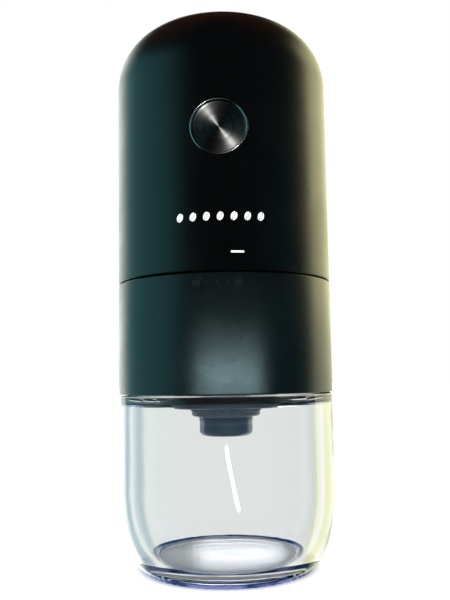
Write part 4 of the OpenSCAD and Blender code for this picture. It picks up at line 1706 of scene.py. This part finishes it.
@dataclass(frozen=True)
class Lamp:
    """An area light that is aimed at a point.

    Attributes:
        name: its name.
        spot: where it stands, in metres.
        aim: what it points at, in metres.
        size: its width and height in metres.
        power: its power in watts.
        colour: its colour.
        glossy: whether reflections show it.
        roll: how far it is turned about its own aim, in degrees.
        lights: names of the only pieces it lights; empty for all of them.
    """

    name: str
    spot: Colour
    aim: Colour
    size: tuple[float, float]
    power: float
    colour: Colour = (1.0, 1.0, 1.0)
    glossy: bool = True
    roll: float = 0.0
    lights: tuple[str, ...] = ()


@dataclass
class Studio:
    """The floor, the light and the camera.

    Attributes:
        mirrored: what reflections show.
        seen_through: what shows through the glass.
        sky: the light that falls on every matt surface.
        lamps: the area lights.
        eye_level: height of the camera in metres.
        distance: distance of the camera from the axis in metres.
        bearing: how far to the right of the front the camera stands, in degrees.
        pitch: how far the camera looks up, in degrees.
        roll: how far the camera is rolled, in radians.
        lens: focal length over a 36 mm sensor, in millimetres.
        shift: how far the frame is shifted sideways and upwards, as a part of its size.
    """

    mirrored: Backdrop = Backdrop((0.002, 0.004, 0.005), (
        Panel((0.22, 0.74, 0.80), -94, 84, 36, -30, 34),
        Panel((0.01, 0.07, 0.09), 72, 60, 30, -30, 20),
        Panel((0.07, 0.022, 0.01), 140, 120, 30, 48, 80),
        Panel((0.084, 0.026, 0.012), -130, 120, 30, 48, 80),
        Panel((3.8, 3.5, 1.9), 118, 17, 9, -30, 40),
        Panel((2.3, 2.2, 1.3), 146, 44, 8, -30, 40),
        Panel((1.5, 1.6, 1.1), 118, 17, 9, -30, 6),
        Panel((1.3, 1.35, 0.9), 146, 44, 8, -30, 2),
        Panel((2.2, 2.4, 2.2), -153, 44, 10, -30, 36),
    ))
    seen_through: Backdrop = Backdrop((0.10, 0.17, 0.21), (
        Panel((0.90, 0.90, 0.88), 180, 130, 20),
        Panel((0.46, 0.54, 0.59), -146, 22, 8),
        Panel((0.80, 0.80, 0.50), 148, 18, 8),
        Panel((0.05, 0.24, 0.62), 180, 200, 20, 24, 70),
        Panel((4.0, 4.0, 4.2), 178, 16, 5, 9, 20),
    ))
    sky: Colour = (1.15, 1.15, 1.15)
    lamps: tuple[Lamp, ...] = (
        Lamp("overhead", (0, 0, 4.0), (0, 0, 0), (12, 12), 900.0, glossy=False),
        Lamp("low_streak", (0.034, -0.30, 0.0), (0.0, -0.035, 0.035), (0.014, 0.11), 0.20,
             (0.92, 0.97, 1.0), roll=34, lights=("glass_jar_piece",)),
        Lamp("low_glow", (0.024, -0.30, 0.020), (0.0, -0.035, 0.056), (0.36, 0.012), 0.62,
             (0.62, 0.97, 1.0), lights=("chamber_shell_piece",)),
        Lamp("button_key", (-0.09, -0.42, 0.40), (0.0, -0.034, 0.134), (0.02, 0.02), 0.30,
             (1.0, 0.98, 0.93), lights=("button_cap_piece", "button_bezel_piece")),
    )
    eye_level: float = 0.0605
    distance: float = 0.2407
    bearing: float = 1.31
    pitch: float = 5.7
    roll: float = 0.016
    lens: float = 43.32
    shift: tuple[float, float] = (0.0011, 0.0081)

    def build(self) -> None:
        """Builds the camera, the floor and the light."""
        scene = bpy.context.scene
        scene.view_settings.view_transform = "Standard"
        scene.cycles.max_bounces = scene.cycles.transmission_bounces = 20
        scene.cycles.glossy_bounces = 12
        self.stand_camera()
        self.lay_floor()
        self.surround()
        for lamp in self.lamps:
            self.hang(lamp)

    def stand_camera(self) -> None:
        """Stands the camera in front of the grinder, low down and looking slightly up."""
        camera = bpy.data.objects.new("camera", bpy.data.cameras.new("camera"))
        camera.data.lens = self.lens
        camera.data.sensor_width = SENSOR_WIDTH
        camera.data.shift_x, camera.data.shift_y = self.shift
        camera.data.clip_start = 0.01
        side, tilt = math.radians(self.bearing), math.radians(self.pitch)
        forward = Vector((-math.sin(side) * math.cos(tilt), math.cos(side) * math.cos(tilt),
                          math.sin(tilt)))
        right = forward.cross(Vector((0, 0, 1))).normalized()
        up = right.cross(forward)
        rolled_right = right * math.cos(self.roll) - up * math.sin(self.roll)
        rolled_up = right * math.sin(self.roll) + up * math.cos(self.roll)
        axes = Matrix((rolled_right, rolled_up, -forward)).transposed().to_4x4()
        spot = Vector((self.distance * math.sin(side), -self.distance * math.cos(side),
                       self.eye_level))
        camera.matrix_world = Matrix.Translation(spot) @ axes
        bpy.context.scene.collection.objects.link(camera)
        bpy.context.scene.camera = camera

    def lay_floor(self) -> None:
        """Lays the plain pale floor."""
        bm = bmesh.new()
        bmesh.ops.create_grid(bm, x_segments=2, y_segments=2, size=FLOOR_REACH)
        floor = finish_piece(bm, "floor")
        surface = Surface("floor_pale")
        mottle = surface.effect("mottle", Size=0.4)
        surface.set(Base_Color=surface.blend(mottle.outputs["Factor"], (0.93, 0.93, 0.93, 1),
                                             (0.95, 0.95, 0.95, 1)))
        surface.set(Roughness=0.9, Specular_IOR_Level=0.0)
        floor.data.materials.append(surface.material)
        floor.visible_glossy = False
        floor.visible_transmission = False

    def surround(self) -> None:
        """Makes the world: panelled in reflections and through glass, white to the camera."""
        world = bpy.data.worlds.new("studio")
        bpy.context.scene.world = world
        world.use_nodes = True
        world.cycles.sampling_method = "NONE"
        graph = Graph(world.node_tree)
        back = world.node_tree.nodes["Background"]
        axes = graph.node("SeparateXYZ", {0: graph.node("TexCoord").outputs["Generated"]})
        ahead = graph.math("MULTIPLY", axes.outputs["Y"], -1.0)
        bearing = graph.math("ARCTAN2", axes.outputs["X"], ahead)
        elevation = graph.math("ARCSINE", axes.outputs["Z"])
        ray = graph.node("LightPath").outputs
        through = self.paint(graph, self.seen_through, bearing, elevation)
        mirrored = self.paint(graph, self.mirrored, bearing, elevation)
        polished = graph.blend(ray["Is Glossy Ray"], (1, 1, 1, 1), mirrored)
        glazed = graph.blend(ray["Is Transmission Ray"], polished, through)
        lighting = graph.math("MINIMUM", ray["Diffuse Depth"], 1.0)
        graph.feed(back.inputs["Color"], graph.blend(lighting, glazed, rgba(self.sky)))

    def paint(self, graph: Graph, backdrop: Backdrop, bearing: bpy.types.NodeSocket,
              elevation: bpy.types.NodeSocket) -> bpy.types.NodeSocket:
        """Adds the nodes of one backdrop.

        Args:
            graph: the world's graph.
            backdrop: the backdrop.
            bearing: the bearing of the ray in radians.
            elevation: the elevation of the ray in radians.

        Returns:
            The socket with the backdrop's light.
        """
        light: object = rgba(backdrop.base)
        soft = math.radians(BACKDROP_EDGE)
        for panel in backdrop.panels:
            turned = graph.math("SUBTRACT", bearing, math.radians(panel.bearing))
            away = graph.math("COSINE", turned)
            inner = math.radians(max(0.0, (panel.width - panel.feather) / 2))
            outer = math.radians((panel.width + panel.feather) / 2)
            mask = graph.spread(away, math.cos(outer), math.cos(inner))
            low, high = math.radians(panel.low), math.radians(panel.high)
            if panel.low > -90:
                mask = graph.math("MULTIPLY", mask, graph.spread(elevation, low - soft, low + soft))
            if panel.high < 90:
                mask = graph.math("MULTIPLY", mask,
                                  graph.spread(elevation, high + soft, high - soft))
            light = graph.blend(mask, light, rgba(panel.colour))
        return light

    def hang(self, lamp: Lamp) -> None:
        """Hangs one area light.

        Args:
            lamp: the light.
        """
        data = bpy.data.lights.new(lamp.name, "AREA")
        data.shape = "RECTANGLE"
        data.size, data.size_y = lamp.size
        data.energy = lamp.power
        data.color = lamp.colour
        light = bpy.data.objects.new(lamp.name, data)
        light.location = lamp.spot
        aim = (Vector(lamp.aim) - Vector(lamp.spot)).to_track_quat("-Z", "Y").to_matrix()
        light.rotation_euler = (aim @ Matrix.Rotation(math.radians(lamp.roll), 3, "Z")).to_euler()
        light.visible_camera = False
        light.visible_transmission = False
        light.visible_glossy = lamp.glossy
        bpy.context.scene.collection.objects.link(light)
        if lamp.lights:
            lit = bpy.data.collections.new(f"{lamp.name}_pieces")
            for name in lamp.lights:
                lit.objects.link(bpy.data.objects[name])
            light.light_linking.receiver_collection = lit


def main() -> None:
    """Builds the studio and the grinder."""
    logging.basicConfig(level=logging.INFO, format="%(name)s: %(message)s")
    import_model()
    Jar().build()
    BeanSection().build()
    BurrSet().build()
    button = PowerButton()
    button.build()
    DriveUnit(button).build()
    Insides().build()
    Studio().build()


if __name__ == "__main__":
    main()
